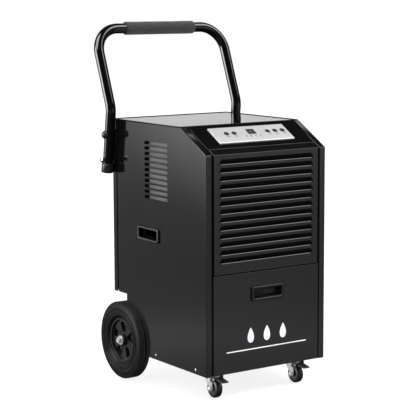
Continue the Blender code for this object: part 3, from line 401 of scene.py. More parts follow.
def loft_in(bm, loops, closed=True):
    """Skins consecutive loops of equally many points, and caps both ends if it is closed."""
    rings = [[bm.verts.new(point) for point in loop] for loop in loops]
    for first, second in zip(rings, rings[1:]):
        bridge(bm, first, second)
    if closed:
        bm.faces.new(rings[0])
        bm.faces.new(rings[-1])
    return rings


def prism_in(bm, outline, low, high, axis="X"):
    loft_in(bm, [[laid_out(axis, along, a, b) for a, b in outline] for along in (low, high)])


def turned_in(bm, profile, axis, centre, segments=64):
    """A closed profile of (along, radius) points turned round an axis. Radius 0 is one point."""
    rings = []
    for along, radius in profile:
        points = circle(radius, segments if radius > 0 else 1)
        rings.append([bm.verts.new(Vector(centre) + Vector(laid_out(axis, along, a, b))) for a, b in points])
    if profile[0][1] > 0:
        rings.append(rings[0])
    for first, second in zip(rings, rings[1:]):
        if len(first) == len(second) == 1:
            continue
        for i in range(segments):
            j = (i + 1) % segments
            corners = [ring[k % len(ring)] for ring, k in ((first, i), (first, j), (second, j), (second, i))]
            bm.faces.new(dict.fromkeys(corners))


def turned(profile, axis, centre, segments=40, place=None):
    """A new mesh turned from a profile, then moved into place."""
    bm = bmesh.new()
    turned_in(bm, profile, axis, centre, segments)
    if place:
        bm.transform(place)
    return bm


def lofted(loops, place=None):
    """A new closed mesh through loops, then moved into place."""
    bm = bmesh.new()
    loft_in(bm, loops)
    if place:
        bm.transform(place)
    return bm


def merge(bm, other):
    """Adds another mesh's geometry, and frees it."""
    mesh = bpy.data.meshes.new("part")
    other.to_mesh(mesh)
    other.free()
    bm.from_mesh(mesh)
    bpy.data.meshes.remove(mesh)


def circle(radius, count, turn=0.0, centre=(0, 0)):
    """Points round a circle, in a plane."""
    angles = [2 * math.pi * i / count + turn for i in range(count)]
    return [(centre[0] + radius * math.cos(a), centre[1] + radius * math.sin(a)) for a in angles]


def bars_round(low, high, wall):
    """Four bars round a rectangle, each as its lowest and highest (a, b)."""
    return (
        ((low[0], low[1]), (high[0], low[1] + wall)), ((low[0], high[1] - wall), (high[0], high[1])),
        ((low[0], low[1]), (low[0] + wall, high[1])), ((high[0] - wall, low[1]), (high[0], high[1])),
    )


def pocket_loops(table):
    """Rounded rectangles that face -Y, from (half width, half height, corner radius, how far out)."""
    loops = []
    for half_a, half_b, radius, out in table:
        loops.append([(a, -out, b) for a, b in rectangle(half_a, half_b, radius)])
    return loops


def rounded(corners, radius, steps=4, closed=True):
    """A polygon or polyline of 2-D or 3-D points with its corners turned into arcs."""
    corners = [Vector(corner) for corner in corners]
    points = []
    count = len(corners)
    for i, here in enumerate(corners):
        if not closed and i in (0, count - 1):
            points.append(here)
            continue
        back = (corners[i - 1] - here).normalized()
        on = (corners[(i + 1) % count] - here).normalized()
        half = back.angle(on) / 2
        bend = radius[i] if isinstance(radius, (list, tuple)) else radius
        middle = here + (back + on).normalized() * (bend / math.sin(half))
        start = here + back * (bend / math.tan(half)) - middle
        end = here + on * (bend / math.tan(half)) - middle
        sweep = start.angle(end)
        for step in range(steps + 1):
            share = step / steps
            weights = (math.sin((1 - share) * sweep), math.sin(share * sweep))
            points.append(middle + (start * weights[0] + end * weights[1]) / math.sin(sweep))
    return points


def rectangle(half_a, half_b, radius, steps=4, centre=(0, 0)):
    a, b = centre
    signs = ((-1, -1), (1, -1), (1, 1), (-1, 1))
    return rounded([(a + i * half_a, b + j * half_b) for i, j in signs], radius, steps)


def tube_in(bm, path, radius, sides):
    """A round bar along a path."""
    runs = [(b - a).normalized() for a, b in zip(path, path[1:])]
    tangents = [runs[0], *[(a + b).normalized() for a, b in zip(runs, runs[1:])], runs[-1]]
    across = tangents[0].orthogonal().normalized()
    loops = []
    for point, tangent in zip(path, tangents):
        across = (across - tangent * across.dot(tangent)).normalized()
        other = tangent.cross(across)
        loops.append([point + across * a + other * b for a, b in circle(radius, sides)])
    loft_in(bm, loops)


def fill_flat(bm, *loops):
    """Fills the flat region inside the first loop of vertices and outside the others."""
    edges = []
    for loop in loops:
        for first, second in zip(loop, loop[1:] + loop[:1]):
            edges.append(bm.edges.get((first, second)) or bm.edges.new((first, second)))
    bmesh.ops.triangle_fill(bm, use_beauty=True, edges=edges)


def in_scene(name, data):
    """A new object in the scene."""
    obj = bpy.data.objects.new(name, data)
    bpy.context.scene.collection.objects.link(obj)
    return obj


def piece(name, bm, body, slot, *nodes, material=None, sharp=32, edge=0.0, sheet=None, outward=None):
    """A visible piece. edge rounds its sharp edges; sheet is the thickness of an open surface,
    which is put on the inner side, away from outward."""
    bmesh.ops.recalc_face_normals(bm, faces=bm.faces)
    if outward:
        total = sum((face.normal * face.calc_area() for face in bm.faces), Vector())
        if total.dot(Vector(outward)) < 0:
            bmesh.ops.reverse_faces(bm, faces=bm.faces)
    bm.transform(Matrix.Translation((0, FRONT, 0)))
    mesh = bpy.data.meshes.new(name)
    bm.to_mesh(mesh)
    bm.free()
    mesh.materials.append(MATERIALS[material or slot])
    obj = in_scene(name, mesh)
    if edge:
        rounding = obj.modifiers.new("edge", "BEVEL")
        rounding.width = edge
        rounding.segments = 3
        rounding.limit_method = "ANGLE"
        rounding.angle_limit = math.radians(35)
    if sheet:
        solid = obj.modifiers.new("sheet", "SOLIDIFY")
        solid.thickness = sheet
        solid.offset = -1
        solid.use_even_offset = True
    if edge or sheet:
        shaped = obj.evaluated_get(bpy.context.evaluated_depsgraph_get())
        obj.data = bpy.data.meshes.new_from_object(shaped)
        obj.modifiers.clear()
        level = obj.modifiers.new("level", "WEIGHTED_NORMAL")
        level.keep_sharp = True
        level.weight = 80
    obj.data.name = name
    obj.data.shade_smooth()
    obj.data.set_sharp_from_angle(angle=math.radians(sharp))
    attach(obj, body)
    if nodes:
        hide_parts(*nodes)
    return obj


def slope_frame(x, along):
    """Moves what is made round Z onto the slope, along from its lower edge, so that Z is its normal."""
    place = (x, along * math.cos(SLOPE_ANGLE), FRONT_TOP + along * math.sin(SLOPE_ANGLE))
    return Matrix.Translation(place) @ Matrix.Rotation(SLOPE_ANGLE, 4, "X")


# Pressed sheet

def louvre_rows(top, bottom):
    """Rows from just under a louvre to just over it: (height, share of the way down, kind, inset).

    The lip below the slit rolls in, and the blade turns in under its top edge before it runs down to
    its free edge, so the slit is between the two.
    """
    rows = []
    for turn in range(0, LIP_TURN + 1, 10):
        angle, last = math.radians(turn), math.radians(LIP_TURN)
        drop = LIP_RADIUS * (math.sin(last) - math.sin(angle))
        rows.append((bottom - drop, 1, "lip", LIP_RADIUS * (1 - math.cos(angle))))
    for share in (1, 0.82, 0.6, 0.4, 0.22, 0.1, 0.04):
        kind = "free" if share == 1 else "blade"
        rows.append((top + (bottom - top) * share, share, kind, LOUVRE_DEPTH * math.sqrt(share)))
    rows.append((top, 0, "blade", 0.0))
    return rows


def pressed_sheet(bm, side_columns, rows, half, place):
    """A sheet with louvres pressed into it, as one grid of rows from bottom to top.

    side_columns are the (across, inward) points of its left edge's fold, which the right repeats.
    half is half a louvre's length at its bottom. It is shorter at its top, with round corners there.
    """
    grid = []
    for level, share, kind, depth in rows:
        above = max(0.0, LOUVRE_SLANT - share * LOUVRE_HEIGHT)
        curve = LOUVRE_SLANT - math.sqrt(LOUVRE_SLANT**2 - above**2)
        end = -half + LOUVRE_SLANT * (1 - share) + curve
        left = [(across, inward, False) for across, inward in side_columns]
        left.append((end - 0.0008, 0.0, False))
        for step, rise in ((0, 0), (0.15, 0.12), (0.5, 0.55), (0.85, 0.93), (1, 1)):
            left.append((end + step * LOUVRE_END, depth * rise, step > 0))
        right = [(-across, inward, inner) for across, inward, inner in reversed(left)]
        line = []
        for index, (across, inward, inner) in enumerate(left + right):
            if kind == "free" and not inner:
                line.append(grid[-1][index])
            else:
                line.append(bm.verts.new(place(across, level, inward)))
        if grid and kind != "free":
            below = grid[-1]
            for i in range(len(line) - 1):
                bm.faces.new((below[i], below[i + 1], line[i + 1], line[i]))
        grid.append(line)
    return grid


def fold_columns(half, inward, radius):
    """The (across, inward) points of a sheet's left edge, folded in with a small radius."""
    corners = [(-half, inward), (-half, 0), (-half + 2 * inward, 0)]
    points = rounded(corners, [0, radius, 0], 4, closed=False)
    return [tuple(point) for point in points[:-1]]


def make_grille():
    """The intake: 13 pressed louvres, folded sides, and a lip that lies over the slope's foot."""
    rows = [(span("front_grille")[0].z + SEAM, 1, "flat", 0.0)]
    for number in reversed(range(LOUVRE_COUNT)):
        top = LOUVRE_TOP - number * LOUVRE_PITCH
        rows += louvre_rows(top, top - LOUVRE_HEIGHT)
    bend = 0.0014
    lift = bend * math.tan((math.pi / 2 - SLOPE_ANGLE) / 2)
    steps = 5
    levels = [FRONT_TOP - lift + 2 * lift * step / steps for step in range(steps)]
    rows += [(level, 0, "flat", 0.0) for level in (*levels, FRONT_TOP + lift, FRONT_TOP + GRILLE_LIP)]

    def place(across, level, inward):
        past = level - (FRONT_TOP - lift)
        if past <= 1e-7:
            return Vector((across, inward, level))
        share = min(1.0, past / (2 * lift))
        lean = share * (math.pi / 2 - SLOPE_ANGLE)
        centre = Vector((0, bend, FRONT_TOP - lift))
        skin = centre + bend * Vector((0, -math.cos(lean), math.sin(lean)))
        run = max(0.0, past - 2 * lift) * Vector((0, math.sin(lean), math.cos(lean)))
        return Vector((across, 0, 0)) + skin + run + inward * Vector((0, math.cos(lean), -math.sin(lean)))

    bm = bmesh.new()
    pressed_sheet(bm, fold_columns(PANEL_HALF - GROOVE, 0.012, bend), rows, LOUVRE_HALF, place)
    piece("intake_grille", bm, "intake", "powder_coat", "front_grille", sheet=SHEET, outward=(0, -1, 0.2))


def inset(outline, distance):
    """A polygon's corners moved in by a distance."""
    moved = []
    area = sum(a[0] * b[1] - b[0] * a[1] for a, b in zip(outline, outline[1:] + outline[:1]))
    turn = 1 if area > 0 else -1
    for i, corner in enumerate(outline):
        here = Vector(corner)
        back = (here - Vector(outline[i - 1])).normalized()
        on = (Vector(outline[(i + 1) % len(outline)]) - here).normalized()
        inward = Vector((-(back + on).y, (back + on).x)).normalized() * turn
        square = Vector((-on.y, on.x)) * turn
        moved.append(tuple(here + inward * (distance / inward.dot(square))))
    return moved


def make_side_panels():
    """Folded sheet sides with trapezoid vent slots, a hole for the pull and flanges all round."""
    for side, sign in SIDES:
        low, high = span(f"side_panel_{side}")
        skin = sign * CABINET_HALF
        slope_end = SLOPE_DEPTH - (TOP - high.z) / math.tan(SLOPE_ANGLE)
        outline = (
            (0, low.z), (NOTCH_DEPTH, low.z), (NOTCH_DEPTH, NOTCH_TOP), (high.y, NOTCH_TOP),
            (high.y, high.z), (slope_end, high.z), (0, FRONT_TOP),
        )
        holes = []
        for row in range(VENT_COUNT):
            z = VENT_TOP - row * VENT_PITCH
            half = VENT_HEIGHT / 2
            corners = (
                (VENT_FRONT, z - half), (VENT_BACK, z - half),
                (VENT_BACK - half, z + half), (VENT_FRONT + half, z + half),
            )
            holes.append(rounded(corners, 0.0012, 3))
        pull_low, pull_high = span(f"side_pull_{side}")
        middle = (pull_low + pull_high) / 2
        holes.append(rectangle(PULL_HALF - 0.006, PULL_RISE - 0.006, 0.002, 3, (middle.y, middle.z)))
        bm = bmesh.new()
        loops = [[bm.verts.new((skin, a, b)) for a, b in loop] for loop in (outline, *holes)]
        fill_flat(bm, *loops)
        edge = skin - sign * (FLANGE - GROOVE)
        sink = FLANGE_SINK if sign < 0 else 0.0
        inner = [bm.verts.new((edge, max(vert.co.y, sink), vert.co.z)) for vert in loops[0]]
        hem = [bm.verts.new((edge, a, b)) for a, b in inset(outline, 0.009)]
        bridge(bm, loops[0], inner)
        bridge(bm, inner, hem)
        piece(
            f"side_skin_{side}", bm, "cabinet", "powder_coat", f"side_panel_{side}",
            sheet=SHEET, outward=(sign, 0, 0), edge=FOLD,
        )
        make_vent_mesh(side, sign)
        backing = bmesh.new()
        inside, half = sign * (CABINET_HALF - 0.006), 0.0006
        foot = (inside - half, high.y - 0.012, NOTCH_TOP + 0.004)
        box_in(backing, foot, (inside + half, high.y + 0.016, TOP - 0.006))
        piece(f"seam_backing_{side}", backing, "cabinet", "black_plastic")


def make_vent_mesh(side, sign):
    """Expanded mesh behind the side vent: two families of slanting strands in a shallow pan's rim."""
    low, high = span(f"vent_mesh_{side}")
    floor = low.x if sign > 0 else high.x
    strand, lean, pitch = 0.0016, math.radians(32), 0.0064
    back = VENT_BACK - 0.006
    bm = bmesh.new()
    centre = Vector(((low.y + high.y) / 2, (low.z + high.z) / 2))
    reach = (high - low).length / 2
    count = int(reach / pitch)
    for family, tilt in ((0, lean), (1, -lean)):
        along = Vector((math.cos(tilt), math.sin(tilt)))
        across = Vector((-along.y, along.x))
        level = floor + sign * (0.0004 + 0.0005 * family)
        for number in range(-count, count + 1):
            start = centre + across * (number * pitch)
            spans = [
                sorted(((bottom - start[axis]) / along[axis], (top - start[axis]) / along[axis]))
                for axis, (bottom, top) in enumerate(((low.y, back), (low.z, high.z)))
            ]
            first, last = max(spans[0][0], spans[1][0]), min(spans[0][1], spans[1][1])
            if last - first < 2 * strand:
                continue
            a, b = start + along * first, start + along * last
            aside = across * (strand / 2)
            prism_in(bm, (a - aside, b - aside, b + aside, a + aside), level - 0.0003, level + 0.0003)
    piece(f"vent_strands_{side}", bm, "cabinet", "mesh_steel", f"vent_mesh_{side}")
    bm = bmesh.new()
    for first, last in bars_round((low.y, low.z), (high.y, high.z), 0.0008):
        box_in(bm, (low.x, *first), (high.x, *last))
    piece(f"vent_rim_{side}", bm, "cabinet", "mesh_steel", material="black_plastic")


def make_rear_panel():
    """The outlet louvres, the mains inlet's hole and the folded sides."""
    high = span("rear_panel")[1]
    back = high.y
    rows = []
    for number in reversed(range(OUTLET_COUNT)):
        top = OUTLET_TOP - number * OUTLET_PITCH
        rows += louvre_rows(top, top - LOUVRE_HEIGHT)
    rows.append((high.z, 0, "flat", 0.0))
    bm = bmesh.new()
    columns = fold_columns(CABINET_HALF, REAR_FLANGE, 0.0012)
    grid = pressed_sheet(bm, columns, rows, OUTLET_HALF, lambda a, level, w: Vector((a, back - w, level)))
    first = grid[0]
    flat = len(columns) - 1
    inlet_low, inlet_high = span("power_inlet")
    middle = (inlet_low + inlet_high) / 2
    outline = rectangle(0.0150, 0.0112, 0.0015, 3, (middle.x, middle.z))
    hole = [bm.verts.new((a, back, b)) for a, b in outline]
    foot = [bm.verts.new((vert.co.x, vert.co.y, NOTCH_TOP)) for vert in first]
    for i in [*range(flat), *range(len(first) - 1 - flat, len(first) - 1)]:
        bm.faces.new((foot[i], foot[i + 1], first[i + 1], first[i]))
    outer = first[flat:len(first) - flat] + [foot[len(first) - 1 - flat], foot[flat]]
    fill_flat(bm, outer, hole)
    for vert in foot[flat + 1:len(first) - 1 - flat]:
        bm.verts.remove(vert)
    piece("rear_skin", bm, "cabinet", "powder_coat", "rear_panel", sheet=SHEET, outward=(0, 1, 0))


def make_top():
    """The top: a shallow tray whose rim stands 1.5 mm over its floor."""
    low, high = span("top_panel")
    middle, half = (low + high) / 2, (high - low) / 2
    loops = []
    for drop, z in (
        (0.0006, low.z), (0.0, low.z + 0.0005), (0.0, high.z - 0.0004), (0.0004, high.z), (0.0012, high.z),
        (0.0016, high.z - 0.0004), (0.0018, high.z - 0.0013), (0.0024, high.z - 0.0015),
    ):
        outline = rectangle(half.x - drop, half.y - drop, 0.0030, 5, (middle.x, middle.y))
        loops.append([(a, b, z) for a, b in outline])
    piece("top_cover", lofted(loops), "cabinet", "gloss_black", "top_panel", sharp=12)


# Pulls and the mains inlet: a raised bezel round a pocket

def make_pull(name, body, node, turn):
    """Made facing -Y at the origin, then turned into place. The cabinet's two have a near-black sheet inside
    the pocket, which is painted shade.
    """
    bezel = pocket_loops((
        (0.0425, 0.0105, 0.002, -0.0195), (0.0435, 0.0115, 0.002, -0.0185), (0.0440, 0.0120, 0.002, -0.001),
        (0.0441, 0.0121, 0.002, 0.0035), (0.0452, 0.0132, 0.003, 0.0048), (0.0463, 0.0143, 0.004, 0.0052),
        (0.0495, 0.0175, 0.005, 0.0053), (0.0506, 0.0186, 0.005, 0.0045), (0.0510, 0.0190, 0.005, 0.0030),
        (0.0510, 0.0190, 0.005, 0.0004), (0.0458, 0.0138, 0.003, 0.0003), (0.0456, 0.0136, 0.003, -0.0215),
    ))
    piece(name, lofted(bezel, turn), body, "black_plastic", node, sharp=50)
    if body == "drawer":
        return
    # A thin near-black sheet over the pocket's inside: painted shade for the shade that falls in the pocket.
    painted_shade_sheet = bmesh.new()
    rings = loft_in(painted_shade_sheet, pocket_loops((
        (0.0438, 0.0118, 0.002, 0.0015), (0.0437, 0.0117, 0.002, -0.0180), (0.0427, 0.0107, 0.002, -0.0193),
    )), closed=False)
    painted_shade_sheet.faces.new(rings[-1])
    bmesh.ops.solidify(painted_shade_sheet, geom=painted_shade_sheet.faces[:], thickness=0.00015)
    painted_shade_sheet.transform(turn)
    piece(f"{name}_liner", painted_shade_sheet, body, "black_plastic", material="recess", sharp=50)


def make_pulls():
    low, high = span("door_pull")
    make_pull("door_handle", "drawer", "door_pull", Matrix.Translation((0, 0, (low.z + high.z) / 2)))
    for side, sign in SIDES:
        low, high = span(f"side_pull_{side}")
        centre = Vector((sign * CABINET_HALF, (low.y + high.y) / 2, (low.z + high.z) / 2))
        turn = Matrix.Translation(centre) @ Matrix.Rotation(sign * math.pi / 2, 4, "Z")
        make_pull(f"lift_pull_{side}", "cabinet", f"side_pull_{side}", turn)


def make_inlet():
    """A recessed three-pin mains inlet, and the barbed drain spout on the wheel bay's wall."""
    low, high = span("power_inlet")
    middle = (low + high) / 2
    to_back = Matrix.Translation((middle.x, CABINET_DEPTH, middle.z)) @ Matrix.Diagonal((1, -1, 1, 1))
    shell = pocket_loops((
        (0.0112, 0.0074, 0.002, -0.016), (0.0114, 0.0076, 0.002, 0.0008), (0.0122, 0.0084, 0.002, 0.0020),
        (0.0160, 0.0122, 0.002, 0.0021), (0.0166, 0.0128, 0.002, 0.0014), (0.0166, 0.0128, 0.002, 0.0004),
        (0.0134, 0.0096, 0.002, 0.0003), (0.0134, 0.0096, 0.002, -0.018),
    ))
    piece("inlet_shell", lofted(shell, to_back), "cabinet", "black_plastic", "power_inlet", sharp=50)
    pins = bmesh.new()
    for x, z in ((-0.007, -0.001), (0.0, 0.003), (0.007, -0.001)):
        outline = rectangle(0.001, 0.002, 0.0003, 2, (middle.x + x, middle.z + z))
        prism_in(pins, outline, CABINET_DEPTH - 0.016, CABINET_DEPTH - 0.004, "Y")
    piece("inlet_pins", pins, "cabinet", "zinc", edge=0.0002)

    low, high = span("drain_port")
    middle = (low + high) / 2
    bore, body_radius = 0.0050, 0.0070
    profile = [
        (low.y, bore), (low.y, body_radius), (NOTCH_DEPTH, body_radius), (NOTCH_DEPTH, 0.0115),
        (NOTCH_DEPTH + 0.0022, 0.0115), (NOTCH_DEPTH + 0.0030, 0.0105), (NOTCH_DEPTH + 0.0030, body_radius),
    ]
    root, barbs = NOTCH_DEPTH + 0.005, 3
    pitch = (high.y - root) / barbs
    for barb in range(barbs):
        start = root + barb * pitch
        profile += [(start, 0.0066), (start, 0.0079), (start + pitch * 0.8, 0.0066)]
    profile += [(high.y, 0.0062), (high.y, bore)]
    spout = turned(profile, "Y", (middle.x, 0, middle.z))
    piece("drain_spout", spout, "cabinet", "black_plastic", "drain_port", sharp=40)


# Console

def make_plate():
    """The raised silver plate, with sloping flanks and holes for the buttons and the display."""
    middle = sum(PLATE_ALONG) / 2
    half_a, half_b = span("control_plate")[1].x, (PLATE_ALONG[1] - PLATE_ALONG[0]) / 2
    bm = bmesh.new()
    loops = []
    for drop, out in ((0.0, 0.0003), (0.0, 0.0020), (0.0004, 0.0026), (0.0016, PLATE_OUT)):
        loops.append([(a, b, out) for a, b in rectangle(half_a - drop, half_b - drop, 0.0012, 3)])
    rings = loft_in(bm, loops, closed=False)
    holes = [circle(BUTTON_HOLE, 32, 0.0, (x, BUTTON_ALONG - middle)) for x in BUTTON_X]
    for half, (start, end) in ((WINDOW_HALF + 0.0004, WINDOW_ALONG), (STRIP_HALF + 0.0004, STRIP_ALONG)):
        centre = (WINDOW_X, (start + end) / 2 - middle)
        holes.append(rectangle(half, (end - start) / 2 + 0.0003, 0.001, 3, centre))
    upper = [[bm.verts.new((a, b, PLATE_OUT)) for a, b in hole] for hole in holes]
    lower = [[bm.verts.new((a, b, 0.0003)) for a, b in hole] for hole in holes]
    for top_ring, foot_ring in zip(upper, lower):
        bridge(bm, top_ring, foot_ring)
    fill_flat(bm, rings[-1], *upper)
    fill_flat(bm, rings[0], *lower)
    bm.transform(slope_frame(0, middle))
    piece("console_plate", bm, "cabinet", "silver_plate", "control_plate", sharp=14)


def make_console():
    """The plate, the buttons, the display with its lamps, and small plain marks."""
    make_plate()
    face = PLATE_OUT
    crest = face + 0.0012
    low, high = span("button_1")
    radius = (high.x - low.x) / 2
    profile = (
        (-0.005, 0.0), (-0.005, radius - 0.0002), (crest - 0.0010, radius), (crest - 0.0004, radius - 0.0002),
        (crest, radius - 0.0009), (crest - 0.0001, radius - 0.0016), (crest - 0.0005, radius * 0.4),
        (crest - 0.0006, 0.0),
    )
    for number, x in enumerate(BUTTON_X, 1):
        button = turned(profile, "Z", (0, 0, 0), 48, slope_frame(x, BUTTON_ALONG))
        node = f"button_{number}"
        piece(f"push_{node}", button, node, "button_rubber", node, sharp=60)

    start, end = WINDOW_ALONG
    window = slope_frame(WINDOW_X, (start + end) / 2)
    loops = []
    for out, drop in ((0.0004, 0.0), (face - 0.0001, 0.0), (face + 0.0002, 0.0003)):
        outline = rectangle(WINDOW_HALF - drop, (end - start) / 2 - drop, 0.0012)
        loops.append([(a, b, out) for a, b in outline])
    piece("display_glass", lofted(loops, window), "cabinet", "display", "display_window", sharp=20)

    bm = bmesh.new()
    lit = face + 0.00025
    digit, tall, stroke = 0.0040, 0.0062, 0.0011
    for x in (-0.0042, 0.0052):
        bars = [(x, b, digit, stroke) for b in (-tall, 0, tall)]
        for side in (-0.95, 0.95):
            bars += [(x + side * digit, b * tall / 2, stroke, tall / 2) for b in (-1, 1)]
        for a, b, half_a, half_b in bars:
            half_a, half_b = (max(half - 0.0005, stroke / 2) for half in (half_a, half_b))
            box_in(bm, (a - half_a, b - half_b, lit - 0.0001), (a + half_a, b + half_b, lit))
    bm.transform(window)
    piece("display_segments", bm, "cabinet", "display", material="digits", sharp=20)

    start, end = STRIP_ALONG
    strip = rectangle(STRIP_HALF, (end - start) / 2, 0.001)
    loops = [[(a, b, out) for a, b in strip] for out in (0.0004, face - 0.0003)]
    bar = lofted(loops, slope_frame(WINDOW_X, (start + end) / 2))
    piece("lamp_bar", bar, "cabinet", "display", "lamp_strip", material="silver_plate", sharp=20)
    bm = bmesh.new()
    profile = ((-0.0004, 0.0), (-0.0004, 0.0019), (0.0, 0.0018), (0.0003, 0.0012), (0.0004, 0.0))
    for x in LAMP_X:
        merge(bm, turned(profile, "Z", (0, 0, face), 24, slope_frame(x, start + 0.0014)))
    piece("indicator_lamps", bm, "cabinet", "display", material="recess", sharp=60)

    bm = bmesh.new()
    for x in BUTTON_X:
        print_mark(bm, x, BUTTON_ALONG - 0.0125, 0.0055, 0.0007)
        print_mark(bm, x, BUTTON_ALONG - 0.0150, 0.0035, 0.0005)
    for x in LAMP_X:
        print_mark(bm, x, start - 0.0035, 0.0028, 0.0005)
    piece("plate_marks", bm, "cabinet", "silver_plate", material="marking", sharp=20)


def print_mark(bm, x, along, half_x, half_along):
    """A short printed dash on the plate, where the real one has a label."""
    dash = bmesh.new()
    box_in(dash, (-half_x, -half_along, PLATE_OUT - 0.0002), (half_x, half_along, PLATE_OUT + 0.00006))
    dash.transform(slope_frame(x, along))
    merge(bm, dash)


# Handle

def handle_corners(sign):
    """The tube's foot, knee and top corner on one side, as (x, depth, z)."""
    depth, z = TUBE_KNEE
    top = (depth + HANDLE_REACH * math.sin(HANDLE_LEAN), z + HANDLE_REACH * math.cos(HANDLE_LEAN))
    return [Vector((sign * TUBE_X, *point)) for point in (TUBE_FOOT, TUBE_KNEE, top)]


def lower_depth(z):
    """The tube's depth at a height below its knee."""
    share = (TUBE_KNEE[1] - z) / (TUBE_KNEE[1] - TUBE_FOOT[1])
    return TUBE_KNEE[0] + share * (TUBE_FOOT[0] - TUBE_KNEE[0])


def make_handle():
    """The bent tube, its foam grip, and its end caps with the brackets beside them."""
    foot, knee, top = handle_corners(-1)
    bends = [0, KNEE_RADIUS, CORNER_RADIUS, CORNER_RADIUS, KNEE_RADIUS, 0]
    path = rounded([foot, knee, top, *reversed(handle_corners(1))], bends, 14, False)
    bm = bmesh.new()
    tube_in(bm, path, TUBE_RADIUS, 40)
    piece("tube", bm, "handle", "tube_gloss", "handle_tube", sharp=50)
    make_grip(top)
    run = (foot - knee).normalized()
    lean = Matrix.Rotation(math.atan2(run.y, -run.z), 4, "X")
    profile = (
        (-0.0030, 0.0), (-0.0030, 0.0135), (-0.0026, 0.0153), (-0.0016, 0.0165), (0.0, 0.0170),
        (0.0190, 0.0170), (0.0205, 0.0167), (0.0222, 0.0157), (0.0230, 0.0149), (0.0230, 0.0141),
        (0.0, 0.0141), (0.0, 0.0),
    )
    for side, sign in SIDES:
        cap = turned(profile, "Z", (0, 0, 0), 48, Matrix.Translation((sign * TUBE_X, foot.y, foot.z)) @ lean)
        piece(f"end_cap_{side}", cap, "handle", "black_plastic", f"ferrule_{side}", sharp=40)
        make_handle_hardware(side, sign)


def make_grip(top):
    """A foam sleeve with round ends and an uneven skin, along the handle's top."""
    edge, runs, turns = 0.0052, 24, 6
    profile = [(-GRIP_HALF, TUBE_RADIUS + 0.0002)]
    for step in reversed(range(turns + 1)):
        angle = math.pi / 2 * step / turns
        along = -GRIP_HALF + edge * (1 - math.sin(angle))
        profile.append((along, GRIP_RADIUS - edge * (1 - math.cos(angle))))
    for step in range(1, runs):
        profile.append((-GRIP_HALF + edge + 2 * (GRIP_HALF - edge) * step / runs, GRIP_RADIUS))
    profile += [(-along, radius) for along, radius in reversed(profile[:turns + 2])]
    bm = turned(profile, "X", (0, top.y, top.z), 56)
    for vert in bm.verts:
        away = vert.co - Vector((vert.co.x, top.y, top.z))
        if away.length > TUBE_RADIUS + 0.002:
            lump = noise.noise(vert.co * 34) * 0.00035 + noise.noise(vert.co * 110) * 0.00012
            vert.co += away.normalized() * (lump - 0.0003)
    grip = piece("foam_grip", bm, "handle", "foam", "handle_grip", sharp=60)


def make_handle_hardware(side, sign):
    """The bracket on the cabinet, the stud's dome nut and the sprung lock pin's knob."""
    low, high = span(f"handle_bracket_{side}")
    inner = sign * (CABINET_HALF + 0.0003)
    face = sign * (TUBE_X - TUBE_RADIUS - 0.0005)
    pivot, lock = lower_depth(PIVOT_Z), lower_depth(LOCK_Z)
    back = min(high.y, CABINET_DEPTH - 0.001)
    corners = ((lock - 0.011, low.z), (back, low.z), (back, high.z), (pivot - 0.011, high.z))
    bm = bmesh.new()
    prism_in(bm, rounded(corners, [0.004, 0.002, 0.004, 0.007], 5), inner, face, "X")
    piece(f"bracket_{side}", bm, "cabinet", "black_plastic", f"handle_bracket_{side}", edge=0.0008)

    outside = sign * (TUBE_X + TUBE_RADIUS + 0.0005)
    outward = Matrix.Rotation(sign * math.pi / 2, 4, "Y")
    profile = [(0.0, 0.0), (0.0, 0.0112), (0.0010, 0.0114), (0.0014, 0.0100)]
    for step in range(7):
        angle = math.pi / 2 * step / 7
        profile.append((0.0014 + 0.0076 * math.sin(angle), 0.0100 * math.cos(angle)))
    profile.append((0.0090, 0.0))
    nut = turned(profile, "Z", (0, 0, 0), 40, Matrix.Translation((outside, pivot, PIVOT_Z)) @ outward)
    piece(f"dome_nut_{side}", nut, "cabinet", "black_plastic", f"pivot_nut_{side}", sharp=50)

    profile = (
        (-0.0235, 0.0), (-0.0235, 0.0026), (-0.0232, 0.0030), (0.0, 0.0030), (0.0, 0.0060), (0.0006, 0.0066),
        (0.0022, 0.0066), (0.0028, 0.0060), (0.0034, 0.0060), (0.0040, 0.0069), (0.0064, 0.0070),
        (0.0072, 0.0066), (0.0078, 0.0056), (0.0080, 0.0),
    )
    knob = turned(profile, "Z", (0, 0, 0), 40, Matrix.Translation((outside, lock, LOCK_Z)) @ outward)
    piece(f"lock_knob_{side}", knob, f"lock_pin_{side}", "chrome", f"lock_pin_{side}", sharp=50)


def screw_in(bm, place, sign, radius, rise):
    """A domed screw head with a cross recess, on a face whose outward direction is +X or -X."""
    crown = rise * 1.2
    profile = (
        (0.0, 0.0), (0.0, radius), (rise * 0.5, radius * 0.96), (rise, radius * 0.72),
        (crown, radius * 0.35), (crown, 0.0),
    )
    head = turned(profile, "Z", (0, 0, 0), 24)
    long, wide = radius * 0.55, radius * 0.09
    for turn in (0.4, math.pi / 2 + 0.4):
        verts = box_in(head, (-long, -wide, rise * 1.1), (long, wide, rise * 1.35))
        bmesh.ops.rotate(head, verts=verts, cent=(0, 0, 0), matrix=Matrix.Rotation(turn, 3, "Z"))
    head.transform(Matrix.Translation(place) @ Matrix.Rotation(sign * math.pi / 2, 4, "Y"))
    merge(bm, head)


# Wheels

def make_rear_wheels():
    for side, sign in SIDES:
        low, high = span(f"tyre_{side}")
        middle = (low + high) / 2
        make_tyre(side, middle, (high.z - low.z) / 2, high.x - low.x)
        make_rim(side, sign, middle)
        make_hub(side, sign, middle)


